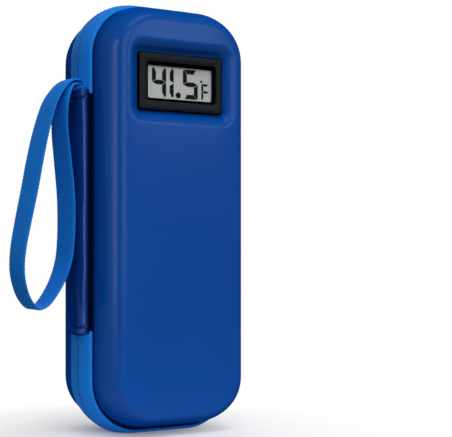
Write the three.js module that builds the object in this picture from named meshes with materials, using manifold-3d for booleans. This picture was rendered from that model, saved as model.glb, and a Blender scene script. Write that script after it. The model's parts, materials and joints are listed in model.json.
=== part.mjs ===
// Insulin cooling case: a zipped hard-shell case for insulin pens, with a panel thermometer set
// into its front shell, two cold packs inside and a wrist strap on its spine.
// Millimetres, +Z up, front towards -Y. The case is drawn about its zip plane, y = 0, and is moved
// at the end so that the origin lies on the flat strip of tape that the back half stands on.
import * as THREE from 'three';
import { mergeVertices } from 'three/addons/utils/BufferGeometryUtils.js';
import Module from 'manifold-3d';

const wasm = await Module();
wasm.setup();

// Gap kept between two pieces that touch
const CLEAR = 0.3;

// Outline of the case along the sewn edges of the zip tape
const CASE_WIDTH = 79;
const CASE_HEIGHT = 210.5;
const CORNER_RADIUS = 25;
const CORNER_STEPS = 8;
const ROUND_SHARE = 0.499;

// Zip tape between the two shells, bowed outwards, and its flattened foot
const TAPE_HALF = 9.4;
const TAPE_BULGE = 3.5;
const TAPE_THICK = 1;
const TAPE_STEPS = 5;
const ZIP_GAP = 1.2;
const FOOT_FLAT = 1.4;
const COIL_WIDTH = 1.8;
const COIL_THICK = 1.4;

// Moulded foam shells
const FRONT_DEPTH = 22;
const BACK_DEPTH = 23;
const SHELL_WALL = 3;
const DRAFT_WIDTH = 2.7;
const EDGE_RADIUS = 6;
const EDGE_RADIUS_LEAST = 1;
const EDGE_STEPS = 4;
const RIM_INSET = 1;
const RIM_RADIUS = 0.7;

// Foil lining and the binding sewn over its edge
const LINING_THICK = 0.8;
const BINDING_THICK = 1;
const BINDING_WIDTH = 4;

// Panel thermometer: bezel, its place on the front shell and the dish that it sits in
const BEZEL_WIDTH = 48;
const BEZEL_HEIGHT = 28.6;
const BEZEL_FLANGE = 2.2;
const BEZEL_CHAMFER = 0.8;
const BEZEL_CORNER = 1.4;
const BEZEL_DROP = 38;
const BEZEL_SINK = 1.6;
const DISH_MARGIN = 5.5;
const DISH_CORNER = 8;
const DISH_FLOOR_MARGIN = 1;
const DISH_WALL = 1.8;
const WINDOW_WIDTH = 36.6;
const WINDOW_HEIGHT = 16.2;
const WINDOW_SLOPE = 1.6;
const WINDOW_FRAME = 1.6;
const BODY_WIDTH = 45.4;
const BODY_HEIGHT = 26.2;
const BODY_WALL = 1.3;
const BODY_CORNER = 1.5;
const BODY_FIT = 0.4;

// Electronics, front to back
const LENS_THICK = 1;
const LCD_THICK = 1.6;
const ZEBRA_THICK = 2.4;
const ZEBRA_HEIGHT = 2.6;
const ZEBRA_MARGIN = 2;
const BOARD_THICK = 1;
const BOARD_CORNER = 0.5;
const CONTACT_THICK = 0.4;
const CONTACT_SIZE = 8;
const CELL_RADIUS = 5.8;
const CELL_THICK = 5.4;
const CELL_SPACING = 12.6;
const LINK_WIDTH = 20;
const SWITCH_SIZE = 4.4;
const SWITCH_THICK = 1.6;
const BEAD_RADIUS = 1.2;
const HOUSING_WALL = 1.2;
const HOUSING_PLATE = 3;
const DOOR_LAP = 0.3;
const DOOR_TAIL = 2;
const DOOR_HEIGHT = 16.4;
const DOOR_THICK = 1.4;
const DOOR_LIP = 0.7;
const DOOR_GRIP = 0.6;
const BUTTON_RADIUS = 2;
const BUTTON_COLLAR = 0.7;
const BUTTON_COLLAR_THICK = 0.8;
const BUTTON_PROUD = 0.6;
const BUTTON_TRAVEL = 0.5;
const BUTTON_MARGIN = 0.4;

// Cold packs, the pockets that hold them and the pen bands
const PACK_WIDTH = 50.5;
const PACK_THICK = 12;
const PACK_BOTTOM_GAP = 13.4;
const PACK_TOP_GAP = 3.2;
const PACK_FLAT_END = 0.8;
const POCKET_THICK = 0.8;
const POCKET_SHARE = 0.755;
const POCKET_ROUND = 4;
const HEM_HEIGHT = 7.5;
const HEM_EXTRA = 0.5;
const BAND_LOOPS = 3;
const BAND_LOOP_WIDTH = 15.4;
const BAND_PITCH = 16.6;
const BAND_RISE = 14;
const BAND_THICK = 1.1;
const BAND_WIDTH = 16;
const BAND_SHARES = { lower_pen_band: 0.22, upper_pen_band: 0.43 };

// Spine patch and its lining
const PATCH_BOTTOM_GAP = 47.9;
const PATCH_TOP_GAP = 39.6;
const PATCH_THICK = 1.4;
const PATCH_HEM = 5.5;
const PATCH_HEM_EXTRA = 0.7;
const SPINE_LINING_THICK = 0.8;

// Wrist strap: flat webbing, as distances out from the tape's crown and heights over the patch's top
const STRAP_WIDTH = 16;
const STRAP_THICK = 1.3;
const STRAP_STEPS = 72;
const STRAP_LOOP = [
  [5.7, 4.5], [6.9, 4.35], [8.9, 3.2], [11.6, -1.2], [14.7, -7.6], [19.2, -22.4], [22.6, -37.2],
  [25.5, -52], [28.6, -66.5], [31.2, -80], [31.9, -89], [31.2, -96], [28.2, -104.6], [23.6, -109.5],
  [19.4, -108.2], [16, -104.6], [10.8, -96], [7.4, -86], [6.2, -76], [5.9, -62], [6.4, -51], [7.9, -36.6],
  [9.4, -22], [9.4, -12], [8.7, -4], [7.8, 0], [6.9, 1.5], [5.7, 1.9],
];
const STRAP_ROOT_OUTER = [[1.05, 0.3], [1.3, 2.1], [2.6, 3.9], [4.2, 4.45], [5.2, 4.5]];
const STRAP_ROOT_INNER = [[2.65, 0.3], [2.85, 1.2], [3.6, 1.8], [5.2, 1.9]];
const STRAP_ROOT_STEPS = 8;
const STRAP_SEWN = 0.9;

// Zip sliders and their pull tabs
const SLIDER_LENGTH = 10;
const SLIDER_WIDTH = 8.4;
const SLIDER_PLATE = 1.5;
const SLIDER_INNER_WIDTH = 7.6;
const SLIDER_INNER_PLATE = 1.2;
const SLIDER_PLAY = 0.5;
const SLIDER_POST = 0.5;
const SLIDER_POST_LENGTH = 2.6;
const SLIDER_SPACING = 10.8;
const BRIDGE_LENGTH = 6.4;
const BRIDGE_HEIGHT = 3.4;
const BRIDGE_BAR = 1.1;
const BRIDGE_WIDTH = 2.2;
const PULL_LENGTH = 22;
const PULL_WIDTH = 6.2;
const PULL_THICK = 1.2;
const PULL_ARM = 1.1;
const PULL_WINDOW = 4.6;
const PULL_LEAN = THREE.MathUtils.degToRad(4);

// Values that follow from the driving dimensions
const FOOT_Z = TAPE_BULGE - FOOT_FLAT;
const CENTRE_Z = FOOT_Z + CASE_HEIGHT / 2;
const SIDE_X = CASE_WIDTH / 2;
const CROWN_X = SIDE_X + TAPE_BULGE;
const FOOT_EDGE = TAPE_HALF * Math.sqrt(FOOT_FLAT / TAPE_BULGE);
const FOOT_MIDDLE = (ZIP_GAP / 2 + FOOT_EDGE) / 2;
const CASE_TOP = FOOT_Z + CASE_HEIGHT;
const DISPLAY_Z = CASE_TOP - BEZEL_DROP;
const PATCH_BOTTOM = FOOT_Z + PATCH_BOTTOM_GAP;
const PATCH_TOP = CASE_TOP - PATCH_TOP_GAP;
const DISPLAY_Y = -TAPE_HALF - FRONT_DEPTH + BEZEL_SINK;
const STACK = SHELL_WALL + CLEAR + LINING_THICK + CLEAR;

// Builds closed bodies from rings of points, each a rounded rectangle square to Y
function ring(width, height, radius, y, centreZ, floor = -Infinity, centreX = 0) {
  const points = [];
  const r = Math.min(radius, width * ROUND_SHARE, height * ROUND_SHARE);
  const corners = [[1, 1, 0], [-1, 1, 1], [-1, -1, 2], [1, -1, 3]];
  for (const [sx, sz, quarter] of corners) {
    for (let step = 0; step <= CORNER_STEPS; step++) {
      const angle = (quarter + step / CORNER_STEPS) * Math.PI / 2;
      const x = centreX + sx * (width / 2 - r) + r * Math.cos(angle);
      const z = centreZ + sz * (height / 2 - r) + r * Math.sin(angle);
      points.push(new THREE.Vector3(x, y, Math.max(z, floor)));
    }
  }
  return points;
}

function caseRing(offset, y, floor) {
  const width = CASE_WIDTH + 2 * offset;
  const height = CASE_HEIGHT + 2 * offset;
  return ring(width, height, CORNER_RADIUS + offset, y, CENTRE_Z, floor);
}

// Skins a list of rings that runs towards +Y on outer faces. A cycle closes on itself, like a band.
function skin(rings, cycle = false) {
  const positions = [];
  const index = [];
  const count = rings[0].length;
  for (const points of rings) {
    for (const point of points) positions.push(point.x, point.y, point.z);
  }
  const last = cycle ? rings.length : rings.length - 1;
  for (let i = 0; i < last; i++) {
    const here = i * count;
    const next = ((i + 1) % rings.length) * count;
    for (let k = 0; k < count; k++) {
      const k1 = (k + 1) % count;
      index.push(here + k, next + k, next + k1, here + k, next + k1, here + k1);
    }
  }
  if (!cycle) {
    for (const [points, start, flip] of [[rings[0], 0, false], [rings.at(-1), last * count, true]]) {
      const middle = new THREE.Vector3();
      points.forEach((point) => middle.addScaledVector(point, 1 / count));
      const hub = positions.length / 3;
      positions.push(middle.x, middle.y, middle.z);
      for (let k = 0; k < count; k++) {
        const k1 = (k + 1) % count;
        index.push(hub, start + (flip ? k1 : k), start + (flip ? k : k1));
      }
    }
  }
  const geometry = new THREE.BufferGeometry();
  geometry.setAttribute('position', new THREE.Float32BufferAttribute(positions, 3));
  geometry.setIndex(index);
  return geometry;
}

function plate(width, height, radius, y0, y1, centreZ, centreX = 0) {
  return skin([y0, y1].map((y) => ring(width, height, radius, y, centreZ, undefined, centreX)));
}

function block(x0, x1, y0, y1, z0, z1) {
  const box = new THREE.BoxGeometry(x1 - x0, y1 - y0, z1 - z0);
  return box.translate((x0 + x1) / 2, (y0 + y1) / 2, (z0 + z1) / 2);
}

function discAlongY(radius, y0, y1, x, z, sides = 28) {
  return new THREE.CylinderGeometry(radius, radius, y1 - y0, sides).translate(x, (y0 + y1) / 2, z);
}

function shapeOf(points) {
  return new THREE.Shape(points.map(([a, b]) => new THREE.Vector2(a, b)));
}

// Extrudes an (x, z) outline along Y, centred on the zip plane
function extrudeAlongY(points, width) {
  const solid = new THREE.ExtrudeGeometry(shapeOf(points), { depth: width, bevelEnabled: false });
  return solid.rotateX(Math.PI / 2).translate(0, width / 2, 0);
}

// Extrudes a (y, z) outline along X
function extrudeAlongX(points, x0, x1) {
  const solid = new THREE.ExtrudeGeometry(shapeOf(points), { depth: x1 - x0, bevelEnabled: false });
  const axes = [new THREE.Vector3(0, 1, 0), new THREE.Vector3(0, 0, 1), new THREE.Vector3(1, 0, 0)];
  return solid.applyMatrix4(new THREE.Matrix4().makeBasis(...axes)).translate(x0, 0, 0);
}

// Extrudes an (x, y) outline along Z
function extrudeAlongZ(points, z0, z1) {
  const solid = new THREE.ExtrudeGeometry(shapeOf(points), { depth: z1 - z0, bevelEnabled: false });
  return solid.translate(0, 0, z0);
}

// Joins and cuts closed geometries
function solidOf(geometry) {
  const bare = geometry.clone();
  bare.deleteAttribute('normal');
  bare.deleteAttribute('uv');
  const merged = mergeVertices(bare, 1e-4);
  return new wasm.Manifold(new wasm.Mesh({
    numProp: 3,
    vertProperties: Float32Array.from(merged.attributes.position.array),
    triVerts: Uint32Array.from(merged.index.array),
  }));
}

function geometryOf(solid) {
  const mesh = solid.getMesh();
  const geometry = new THREE.BufferGeometry();
  geometry.setAttribute('position', new THREE.Float32BufferAttribute(mesh.vertProperties, 3));
  geometry.setIndex(Array.from(mesh.triVerts));
  return geometry;
}

function join(first, ...others) {
  return geometryOf(others.reduce((sum, other) => sum.add(solidOf(other)), solidOf(first)));
}

function cut(first, ...others) {
  return geometryOf(others.reduce((sum, other) => sum.subtract(solidOf(other)), solidOf(first)));
}

function overlapOf(first, second) {
  return geometryOf(solidOf(first).intersect(solidOf(second)));
}

// Finishes
const FINISHES = {
  shell: { color: 0x0e4896, roughness: 0.5, metalness: 0 },
  tape: { color: 0x1a5eae, roughness: 0.85, metalness: 0 },
  patch: { color: 0x0c2f6e, roughness: 0.45, metalness: 0 },
  webbing: { color: 0x1366b5, roughness: 0.85, metalness: 0 },
  coil: { color: 0x0d2f6a, roughness: 0.5, metalness: 0 },
  foil: { color: 0xc9ccd0, roughness: 0.3, metalness: 0.7 },
  binding: { color: 0x14171c, roughness: 0.9, metalness: 0 },
  mesh: { color: 0x23262c, roughness: 0.9, metalness: 0 },
  elastic: { color: 0x17191d, roughness: 0.85, metalness: 0 },
  bezel: { color: 0x1b1d22, roughness: 0.4, metalness: 0 },
  lens: { color: 0xdfe6e4, roughness: 0.1, metalness: 0, transparent: true, opacity: 0.35 },
  lcd: { color: 0xa3a5a5, roughness: 0.3, metalness: 0 },
  rubber: { color: 0xb9657a, roughness: 0.8, metalness: 0 },
  board: { color: 0x1e5b34, roughness: 0.6, metalness: 0 },
  steel: { color: 0xb9bbbd, roughness: 0.3, metalness: 1 },
  pack: { color: 0x0452c3, roughness: 0.35, metalness: 0 },
  slider: { color: 0x10407f, roughness: 0.45, metalness: 0.3 },
};

const insulinCase = new THREE.Group();

function addPart(name, geometry, finish) {
  geometry.computeVertexNormals();
  const part = new THREE.Mesh(geometry, new THREE.MeshStandardMaterial(FINISHES[finish]));
  part.name = name;
  insulinCase.add(part);
}

// Moulded shells. A surface parallel to the shell's outside, given by its inset from it, runs from the
// rim to the face as pairs of depth and offset.
const SIDES = {
  front: { sign: -1, depth: FRONT_DEPTH },
  back: { sign: 1, depth: BACK_DEPTH },
};

function draftOffset(side, depth) {
  return -RIM_INSET - DRAFT_WIDTH * depth / side.depth;
}

function surface(side, inset, rim) {
  const radius = Math.max(EDGE_RADIUS - inset, EDGE_RADIUS_LEAST);
  const face = side.depth - inset;
  const pairs = [];
  if (inset === 0) pairs.push([0, draftOffset(side, 0) - RIM_RADIUS]);
  pairs.push([rim, draftOffset(side, rim) - inset]);
  for (let step = 0; step <= EDGE_STEPS; step++) {
    const angle = step / EDGE_STEPS * Math.PI / 2;
    const depth = face - radius + radius * Math.sin(angle);
    pairs.push([depth, draftOffset(side, face - radius) - inset - radius * (1 - Math.cos(angle))]);
  }
  return pairs;
}

function bowl(side, outer, inner) {
  const pairs = [...outer.toReversed(), ...inner];
  if (side.sign > 0) pairs.reverse();
  return skin(pairs.map(([depth, offset]) => caseRing(offset, side.sign * (TAPE_HALF + depth))));
}

const DISH_FLOOR_Y = DISPLAY_Y + BEZEL_FLANGE + CLEAR;

function dishedShell() {
  const shell = bowl(SIDES.front, surface(SIDES.front, 0, RIM_RADIUS), surface(SIDES.front, SHELL_WALL, 0));
  const faceY = -TAPE_HALF - FRONT_DEPTH;
  const floorWidth = BEZEL_WIDTH + 2 * DISH_FLOOR_MARGIN;
  const floorHeight = BEZEL_HEIGHT + 2 * DISH_FLOOR_MARGIN;
  const boss = plate(
    floorWidth + 2 * DISH_WALL, floorHeight + 2 * DISH_WALL, BEZEL_CORNER + DISH_WALL,
    faceY + SHELL_WALL / 2, DISH_FLOOR_Y + DISH_WALL, DISPLAY_Z,
  );
  const mouthWidth = BEZEL_WIDTH + 2 * DISH_MARGIN;
  const mouthHeight = BEZEL_HEIGHT + 2 * DISH_MARGIN;
  const slope = (DISH_MARGIN - DISH_FLOOR_MARGIN) / (DISH_FLOOR_Y - faceY);
  const over = 1;
  const dish = skin([
    ring(mouthWidth + 2 * slope * over, mouthHeight + 2 * slope * over, DISH_CORNER, faceY - over, DISPLAY_Z),
    ring(floorWidth, floorHeight, BEZEL_CORNER + DISH_FLOOR_MARGIN, DISH_FLOOR_Y, DISPLAY_Z),
  ]);
  const hole = plate(
    BODY_WIDTH + 2 * BODY_FIT, BODY_HEIGHT + 2 * BODY_FIT, BODY_CORNER + BODY_FIT,
    faceY - over, DISH_FLOOR_Y + DISH_WALL + over, DISPLAY_Z,
  );
  return cut(join(shell, boss), dish, hole);
}

addPart('front_shell', dishedShell(), 'shell');
const plainShell = bowl(SIDES.back, surface(SIDES.back, 0, RIM_RADIUS), surface(SIDES.back, SHELL_WALL, 0));
addPart('back_shell', plainShell, 'shell');

// Foil lining inside each shell. The front one has an opening round the thermometer's dish.
function lining(side) {
  const outer = surface(side, SHELL_WALL + CLEAR, CLEAR);
  const inner = surface(side, SHELL_WALL + CLEAR + LINING_THICK, CLEAR);
  return bowl(side, outer, inner);
}

const liningWindow = plate(
  BEZEL_WIDTH + 2 * (DISH_FLOOR_MARGIN + DISH_WALL + CLEAR),
  BEZEL_HEIGHT + 2 * (DISH_FLOOR_MARGIN + DISH_WALL + CLEAR),
  BEZEL_CORNER + DISH_WALL + CLEAR, -TAPE_HALF - FRONT_DEPTH, -TAPE_HALF, DISPLAY_Z,
);
addPart('front_lining', cut(lining(SIDES.front), liningWindow), 'foil');
addPart('back_lining', lining(SIDES.back), 'foil');

// Binding tape sewn round the inside of each rim
function rimBinding(side) {
  const far = CLEAR + BINDING_WIDTH;
  const offset = draftOffset(side, far) - STACK;
  const depths = side.sign > 0 ? [CLEAR, far] : [far, CLEAR];
  const outer = depths.map((depth) => caseRing(offset, side.sign * (TAPE_HALF + depth)));
  const inner = depths.map((depth) => caseRing(offset - BINDING_THICK, side.sign * (TAPE_HALF + depth)));
  return skin([...outer, ...inner.toReversed()], true);
}

for (const [name, side] of Object.entries(SIDES)) addPart(`${name}_rim_binding`, rimBinding(side), 'binding');

// Zip tapes and coils. Each is a band round the case, bowed outwards, flat where the case stands on it
// and left open along the spine.
function crown(y) {
  return TAPE_BULGE * (1 - (y / TAPE_HALF) ** 2);
}

const spineGap = block(
  -2 * CASE_WIDTH, -SIDE_X + CORNER_RADIUS / 2, -2 * TAPE_HALF, 2 * TAPE_HALF,
  PATCH_BOTTOM - CLEAR, PATCH_TOP + CLEAR,
);

function openBand(sign, near, far, steps, depth, thick) {
  const heights = [];
  for (let step = 0; step <= steps; step++) heights.push(sign * (near + (far - near) * step / steps));
  heights.sort((a, b) => a - b);
  const outer = heights.map((y) => caseRing(crown(y) - depth, y, depth));
  const inner = heights.toReversed().map((y) => caseRing(crown(y) - depth - thick, y, depth + thick));
  return cut(skin([...outer, ...inner], true), spineGap);
}

for (const [name, side] of Object.entries(SIDES)) {
  const tapeEdge = TAPE_HALF - CLEAR;
  addPart(`${name}_zip_tape`, openBand(side.sign, ZIP_GAP / 2, tapeEdge, TAPE_STEPS, 0, TAPE_THICK), 'tape');
  const coilEdge = ZIP_GAP / 2 + COIL_WIDTH;
  const coilDepth = TAPE_THICK + CLEAR;
  addPart(`${name}_zip_coil`, openBand(side.sign, ZIP_GAP / 2, coilEdge, 1, coilDepth, COIL_THICK), 'coil');
}

// Panel thermometer. Depths are counted back from the bezel's front face.
function atDepth(depth) {
  return DISPLAY_Y + depth;
}

function panel(width, height, radius, from, to) {
  return plate(width, height, radius, atDepth(from), atDepth(to), DISPLAY_Z);
}

const BODY_INNER_WIDTH = BODY_WIDTH - 2 * BODY_WALL;
const BODY_INNER_HEIGHT = BODY_HEIGHT - 2 * BODY_WALL;
const INSERT_WIDTH = BODY_INNER_WIDTH - 2 * CLEAR;
const INSERT_HEIGHT = BODY_INNER_HEIGHT - 2 * CLEAR;
const LENS_FROM = WINDOW_FRAME + CLEAR;
const LCD_FROM = LENS_FROM + LENS_THICK + CLEAR;
const ZEBRA_FROM = LCD_FROM + LCD_THICK + CLEAR;
const BOARD_FROM = ZEBRA_FROM + ZEBRA_THICK + CLEAR;
const BOARD_BACK = BOARD_FROM + BOARD_THICK;
const CONTACT_FROM = BOARD_BACK + CLEAR;
const CELL_FROM = CONTACT_FROM + CONTACT_THICK + CLEAR;
const CELL_BACK = CELL_FROM + CELL_THICK;
const LINK_FROM = CELL_BACK + CLEAR;
const DOOR_FROM = LINK_FROM + CONTACT_THICK + CLEAR;
const PLATE_BACK = DOOR_FROM + DOOR_THICK;
const PLATE_FROM = PLATE_BACK - HOUSING_PLATE;
const BODY_BACK = PLATE_FROM - CLEAR;

function displayBezel() {
  const bevel = BEZEL_CHAMFER;
  const rows = [
    [BEZEL_WIDTH - 2 * bevel, BEZEL_HEIGHT - 2 * bevel, BEZEL_CORNER - bevel, 0],
    [BEZEL_WIDTH, BEZEL_HEIGHT, BEZEL_CORNER, bevel],
    [BEZEL_WIDTH, BEZEL_HEIGHT, BEZEL_CORNER, BEZEL_FLANGE],
    [BODY_WIDTH, BODY_HEIGHT, BODY_CORNER, BEZEL_FLANGE],
    [BODY_WIDTH, BODY_HEIGHT, BODY_CORNER, BODY_BACK],
    [BODY_INNER_WIDTH, BODY_INNER_HEIGHT, BODY_CORNER, BODY_BACK],
    [BODY_INNER_WIDTH, BODY_INNER_HEIGHT, BODY_CORNER, WINDOW_FRAME],
    [WINDOW_WIDTH, WINDOW_HEIGHT, BEZEL_CHAMFER, WINDOW_FRAME],
    [WINDOW_WIDTH + 2 * WINDOW_SLOPE, WINDOW_HEIGHT + 2 * WINDOW_SLOPE, BEZEL_CHAMFER + WINDOW_SLOPE, 0],
  ];
  return skin(rows.map(([w, h, r, depth]) => ring(w, h, r, atDepth(depth), DISPLAY_Z)), true);
}

addPart('display_bezel', displayBezel(), 'bezel');
function insert(from, thick) {
  return panel(INSERT_WIDTH, INSERT_HEIGHT, BOARD_CORNER, from, from + thick);
}

addPart('display_lens', insert(LENS_FROM, LENS_THICK), 'lens');
addPart('lcd_panel', insert(LCD_FROM, LCD_THICK), 'lcd');
addPart('zebra_strip', block(
  -INSERT_WIDTH / 2 + ZEBRA_MARGIN, INSERT_WIDTH / 2 - ZEBRA_MARGIN,
  atDepth(ZEBRA_FROM), atDepth(ZEBRA_FROM + ZEBRA_THICK),
  DISPLAY_Z - INSERT_HEIGHT / 2, DISPLAY_Z - INSERT_HEIGHT / 2 + ZEBRA_HEIGHT,
), 'rubber');
addPart('circuit_board', insert(BOARD_FROM, BOARD_THICK), 'board');

// Temperature sensor bead and the unit switch, both on the board's back, with the cells between them
const INSIDE_X = INSERT_WIDTH / 2 - HOUSING_WALL;
const BEAD_X = INSIDE_X - CLEAR - 2 * BEAD_RADIUS;
const BUTTON_X = BUTTON_MARGIN + BUTTON_RADIUS + BUTTON_COLLAR - INSIDE_X;
const CELLS_X = (BUTTON_X + BUTTON_RADIUS + BUTTON_COLLAR + BEAD_X - BEAD_RADIUS) / 2;
const CELLS_HALF = CELL_SPACING / 2 + CELL_RADIUS + CLEAR;
const DOOR_X0 = CELLS_X - CELLS_HALF - DOOR_LAP;
const DOOR_X1 = CELLS_X + CELLS_HALF + DOOR_TAIL;
const bead = new THREE.SphereGeometry(BEAD_RADIUS, 14, 9);
addPart('thermistor', bead.translate(BEAD_X, atDepth(BOARD_BACK + CLEAR + BEAD_RADIUS), DISPLAY_Z), 'bezel');
addPart('unit_switch', block(
  BUTTON_X - SWITCH_SIZE / 2, BUTTON_X + SWITCH_SIZE / 2,
  atDepth(BOARD_BACK + CLEAR), atDepth(BOARD_BACK + CLEAR + SWITCH_THICK),
  DISPLAY_Z - SWITCH_SIZE / 2, DISPLAY_Z + SWITCH_SIZE / 2,
), 'bezel');

// Two button cells in series: a contact under each, and a link across them at the door
const CELL_PLACES = { plus: CELLS_X - CELL_SPACING / 2, minus: CELLS_X + CELL_SPACING / 2 };
for (const [pole, x] of Object.entries(CELL_PLACES)) {
  const cell = discAlongY(CELL_RADIUS, atDepth(CELL_FROM), atDepth(CELL_BACK), x, DISPLAY_Z);
  addPart(`battery_cell_${pole}`, cell, 'steel');
  addPart(`battery_contact_${pole}`, block(
    x - CONTACT_SIZE / 2, x + CONTACT_SIZE / 2, atDepth(CONTACT_FROM), atDepth(CONTACT_FROM + CONTACT_THICK),
    DISPLAY_Z - CONTACT_SIZE / 2, DISPLAY_Z + CONTACT_SIZE / 2,
  ), 'steel');
}
addPart('battery_link', block(
  CELLS_X - LINK_WIDTH / 2, CELLS_X + LINK_WIDTH / 2, atDepth(LINK_FROM), atDepth(LINK_FROM + CONTACT_THICK),
  DISPLAY_Z - CONTACT_SIZE / 2, DISPLAY_Z + CONTACT_SIZE / 2,
), 'steel');

// Rear housing: a plate with a rim that plugs into the bezel's body, a dovetail channel for the
// battery door, an opening for the cells and a hole for the unit button.
function dovetail(clear, from, to) {
  const wide = DOOR_HEIGHT / 2 + clear;
  const narrow = wide - DOOR_LIP;
  return [
    [atDepth(from), DISPLAY_Z - wide], [atDepth(to), DISPLAY_Z - narrow],
    [atDepth(to), DISPLAY_Z + narrow], [atDepth(from), DISPLAY_Z + wide],
  ];
}

function rearHousing() {
  const back = panel(BODY_WIDTH, BODY_HEIGHT, BODY_CORNER, PLATE_FROM, PLATE_BACK);
  const rim = panel(INSERT_WIDTH, INSERT_HEIGHT, BODY_CORNER, CONTACT_FROM, PLATE_FROM + CLEAR);
  const over = 1;
  const inside = panel(
    INSERT_WIDTH - 2 * HOUSING_WALL, INSERT_HEIGHT - 2 * HOUSING_WALL, BOARD_CORNER,
    CONTACT_FROM - over, PLATE_FROM,
  );
  const channel = extrudeAlongX(dovetail(CLEAR, DOOR_FROM - CLEAR, PLATE_BACK), DOOR_X0 - CLEAR, BODY_WIDTH);
  const mouth = extrudeAlongX([
    [atDepth(PLATE_BACK), DISPLAY_Z - DOOR_HEIGHT / 2 - CLEAR + DOOR_LIP],
    [atDepth(PLATE_BACK + over), DISPLAY_Z - DOOR_HEIGHT / 2 - CLEAR + DOOR_LIP],
    [atDepth(PLATE_BACK + over), DISPLAY_Z + DOOR_HEIGHT / 2 + CLEAR - DOOR_LIP],
    [atDepth(PLATE_BACK), DISPLAY_Z + DOOR_HEIGHT / 2 + CLEAR - DOOR_LIP],
  ], DOOR_X0 - CLEAR, BODY_WIDTH);
  const cells = plate(
    2 * CELLS_HALF, 2 * (CELL_RADIUS + CLEAR), CELL_RADIUS,
    atDepth(PLATE_FROM - over), atDepth(PLATE_BACK), DISPLAY_Z, CELLS_X,
  );
  const buttonHole = discAlongY(
    BUTTON_RADIUS + CLEAR, atDepth(PLATE_FROM - over), atDepth(PLATE_BACK + over), BUTTON_X, DISPLAY_Z,
  );
  return cut(join(back, cut(rim, inside)), channel, mouth, cells, buttonHole);
}

addPart('display_rear_housing', rearHousing(), 'bezel');

// Battery door: slides out of its channel towards +X, with a raised grip near its edge
function batteryDoor() {
  const slab = extrudeAlongX(dovetail(0, DOOR_FROM, PLATE_BACK), DOOR_X0, DOOR_X1);
  const gripLength = (DOOR_X1 - DOOR_X0) / 6;
  const grip = block(
    DOOR_X1 - 2 * gripLength, DOOR_X1 - gripLength,
    atDepth(PLATE_BACK) - CLEAR, atDepth(PLATE_BACK) + DOOR_GRIP,
    DISPLAY_Z - DOOR_HEIGHT / 4, DISPLAY_Z + DOOR_HEIGHT / 4,
  );
  return join(slab, grip);
}

addPart('battery_door', batteryDoor(), 'bezel');

// Unit button: a stem through the rear housing, kept in by a collar and resting over the switch
function unitButton() {
  const tip = BOARD_BACK + CLEAR + SWITCH_THICK + BUTTON_TRAVEL + CLEAR / 2;
  const head = PLATE_BACK + BUTTON_PROUD;
  const stem = discAlongY(BUTTON_RADIUS, atDepth(tip), atDepth(head), BUTTON_X, DISPLAY_Z);
  const stop = PLATE_FROM - CLEAR;
  const collar = discAlongY(
    BUTTON_RADIUS + BUTTON_COLLAR, atDepth(stop - BUTTON_COLLAR_THICK), atDepth(stop), BUTTON_X, DISPLAY_Z,
  );
  return join(stem, collar);
}

addPart('unit_button', unitButton(), 'bezel');

// Cold packs: crowned gel packs with round ends, one against the lining of each half
const PACK_BOTTOM = FOOT_Z + PACK_BOTTOM_GAP;
const PACK_TOP = DISPLAY_Z - BEZEL_HEIGHT / 2 - DISH_FLOOR_MARGIN - DISH_WALL - PACK_TOP_GAP;
const PACK_LENGTH = PACK_TOP - PACK_BOTTOM;
const PACK_CENTRE_Z = PACK_BOTTOM + PACK_LENGTH / 2;
const POCKET_TOP = PACK_BOTTOM + POCKET_SHARE * PACK_LENGTH;
// Shares of the pack's thickness: height over its middle plane, and how far its edge draws in there
const PACK_CROWN = [
  [0.5, 0.75], [0.43, 0.35], [0.28, 0.1], [0, 0], [-0.28, 0.1], [-0.43, 0.35], [-0.5, 0.75],
];

function packRing(inset, y) {
  const width = PACK_WIDTH - 2 * inset;
  return ring(width, PACK_LENGTH - 2 * inset, (width - PACK_FLAT_END) / 2, y, PACK_CENTRE_Z);
}

function liningFace(side) {
  return TAPE_HALF + side.depth - STACK;
}

function coldPack(side) {
  const middle = side.sign * (liningFace(side) - PACK_THICK / 2);
  return skin(PACK_CROWN.map(([level, inset]) => packRing(inset * PACK_THICK, middle - level * PACK_THICK)));
}

// Pocket over each pack: a slip of fabric that is open at its top, with an elastic hem there
function pocketBowl(side, extra) {
  const face = liningFace(side);
  const reach = face - PACK_THICK - CLEAR;
  const thick = POCKET_THICK + extra;
  const inner = [[face - CLEAR, -CLEAR], [reach + POCKET_ROUND, -CLEAR], [reach, POCKET_ROUND]];
  const outer = [
    [face - CLEAR, -CLEAR - thick],
    [reach + POCKET_ROUND - thick, -CLEAR - thick],
    [reach - thick, POCKET_ROUND - thick / 2],
  ];
  const pairs = [...inner.toReversed(), ...outer];
  const rings = pairs.map(([distance, inset]) => packRing(inset, side.sign * distance));
  return skin(side.sign > 0 ? rings.toReversed() : rings);
}

function between(geometry, z0, z1) {
  return overlapOf(geometry, block(-CASE_WIDTH, CASE_WIDTH, -CASE_WIDTH, CASE_WIDTH, z0, z1));
}

for (const [name, side] of Object.entries(SIDES)) {
  addPart(`${name}_cold_pack`, coldPack(side), 'pack');
  addPart(`${name}_pocket`, between(pocketBowl(side, 0), 0, POCKET_TOP), 'mesh');
  const hemFrom = POCKET_TOP + CLEAR;
  const hem = between(pocketBowl(side, HEM_EXTRA), hemFrom, hemFrom + HEM_HEIGHT);
  addPart(`${name}_pocket_hem`, hem, 'elastic');
}

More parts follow.
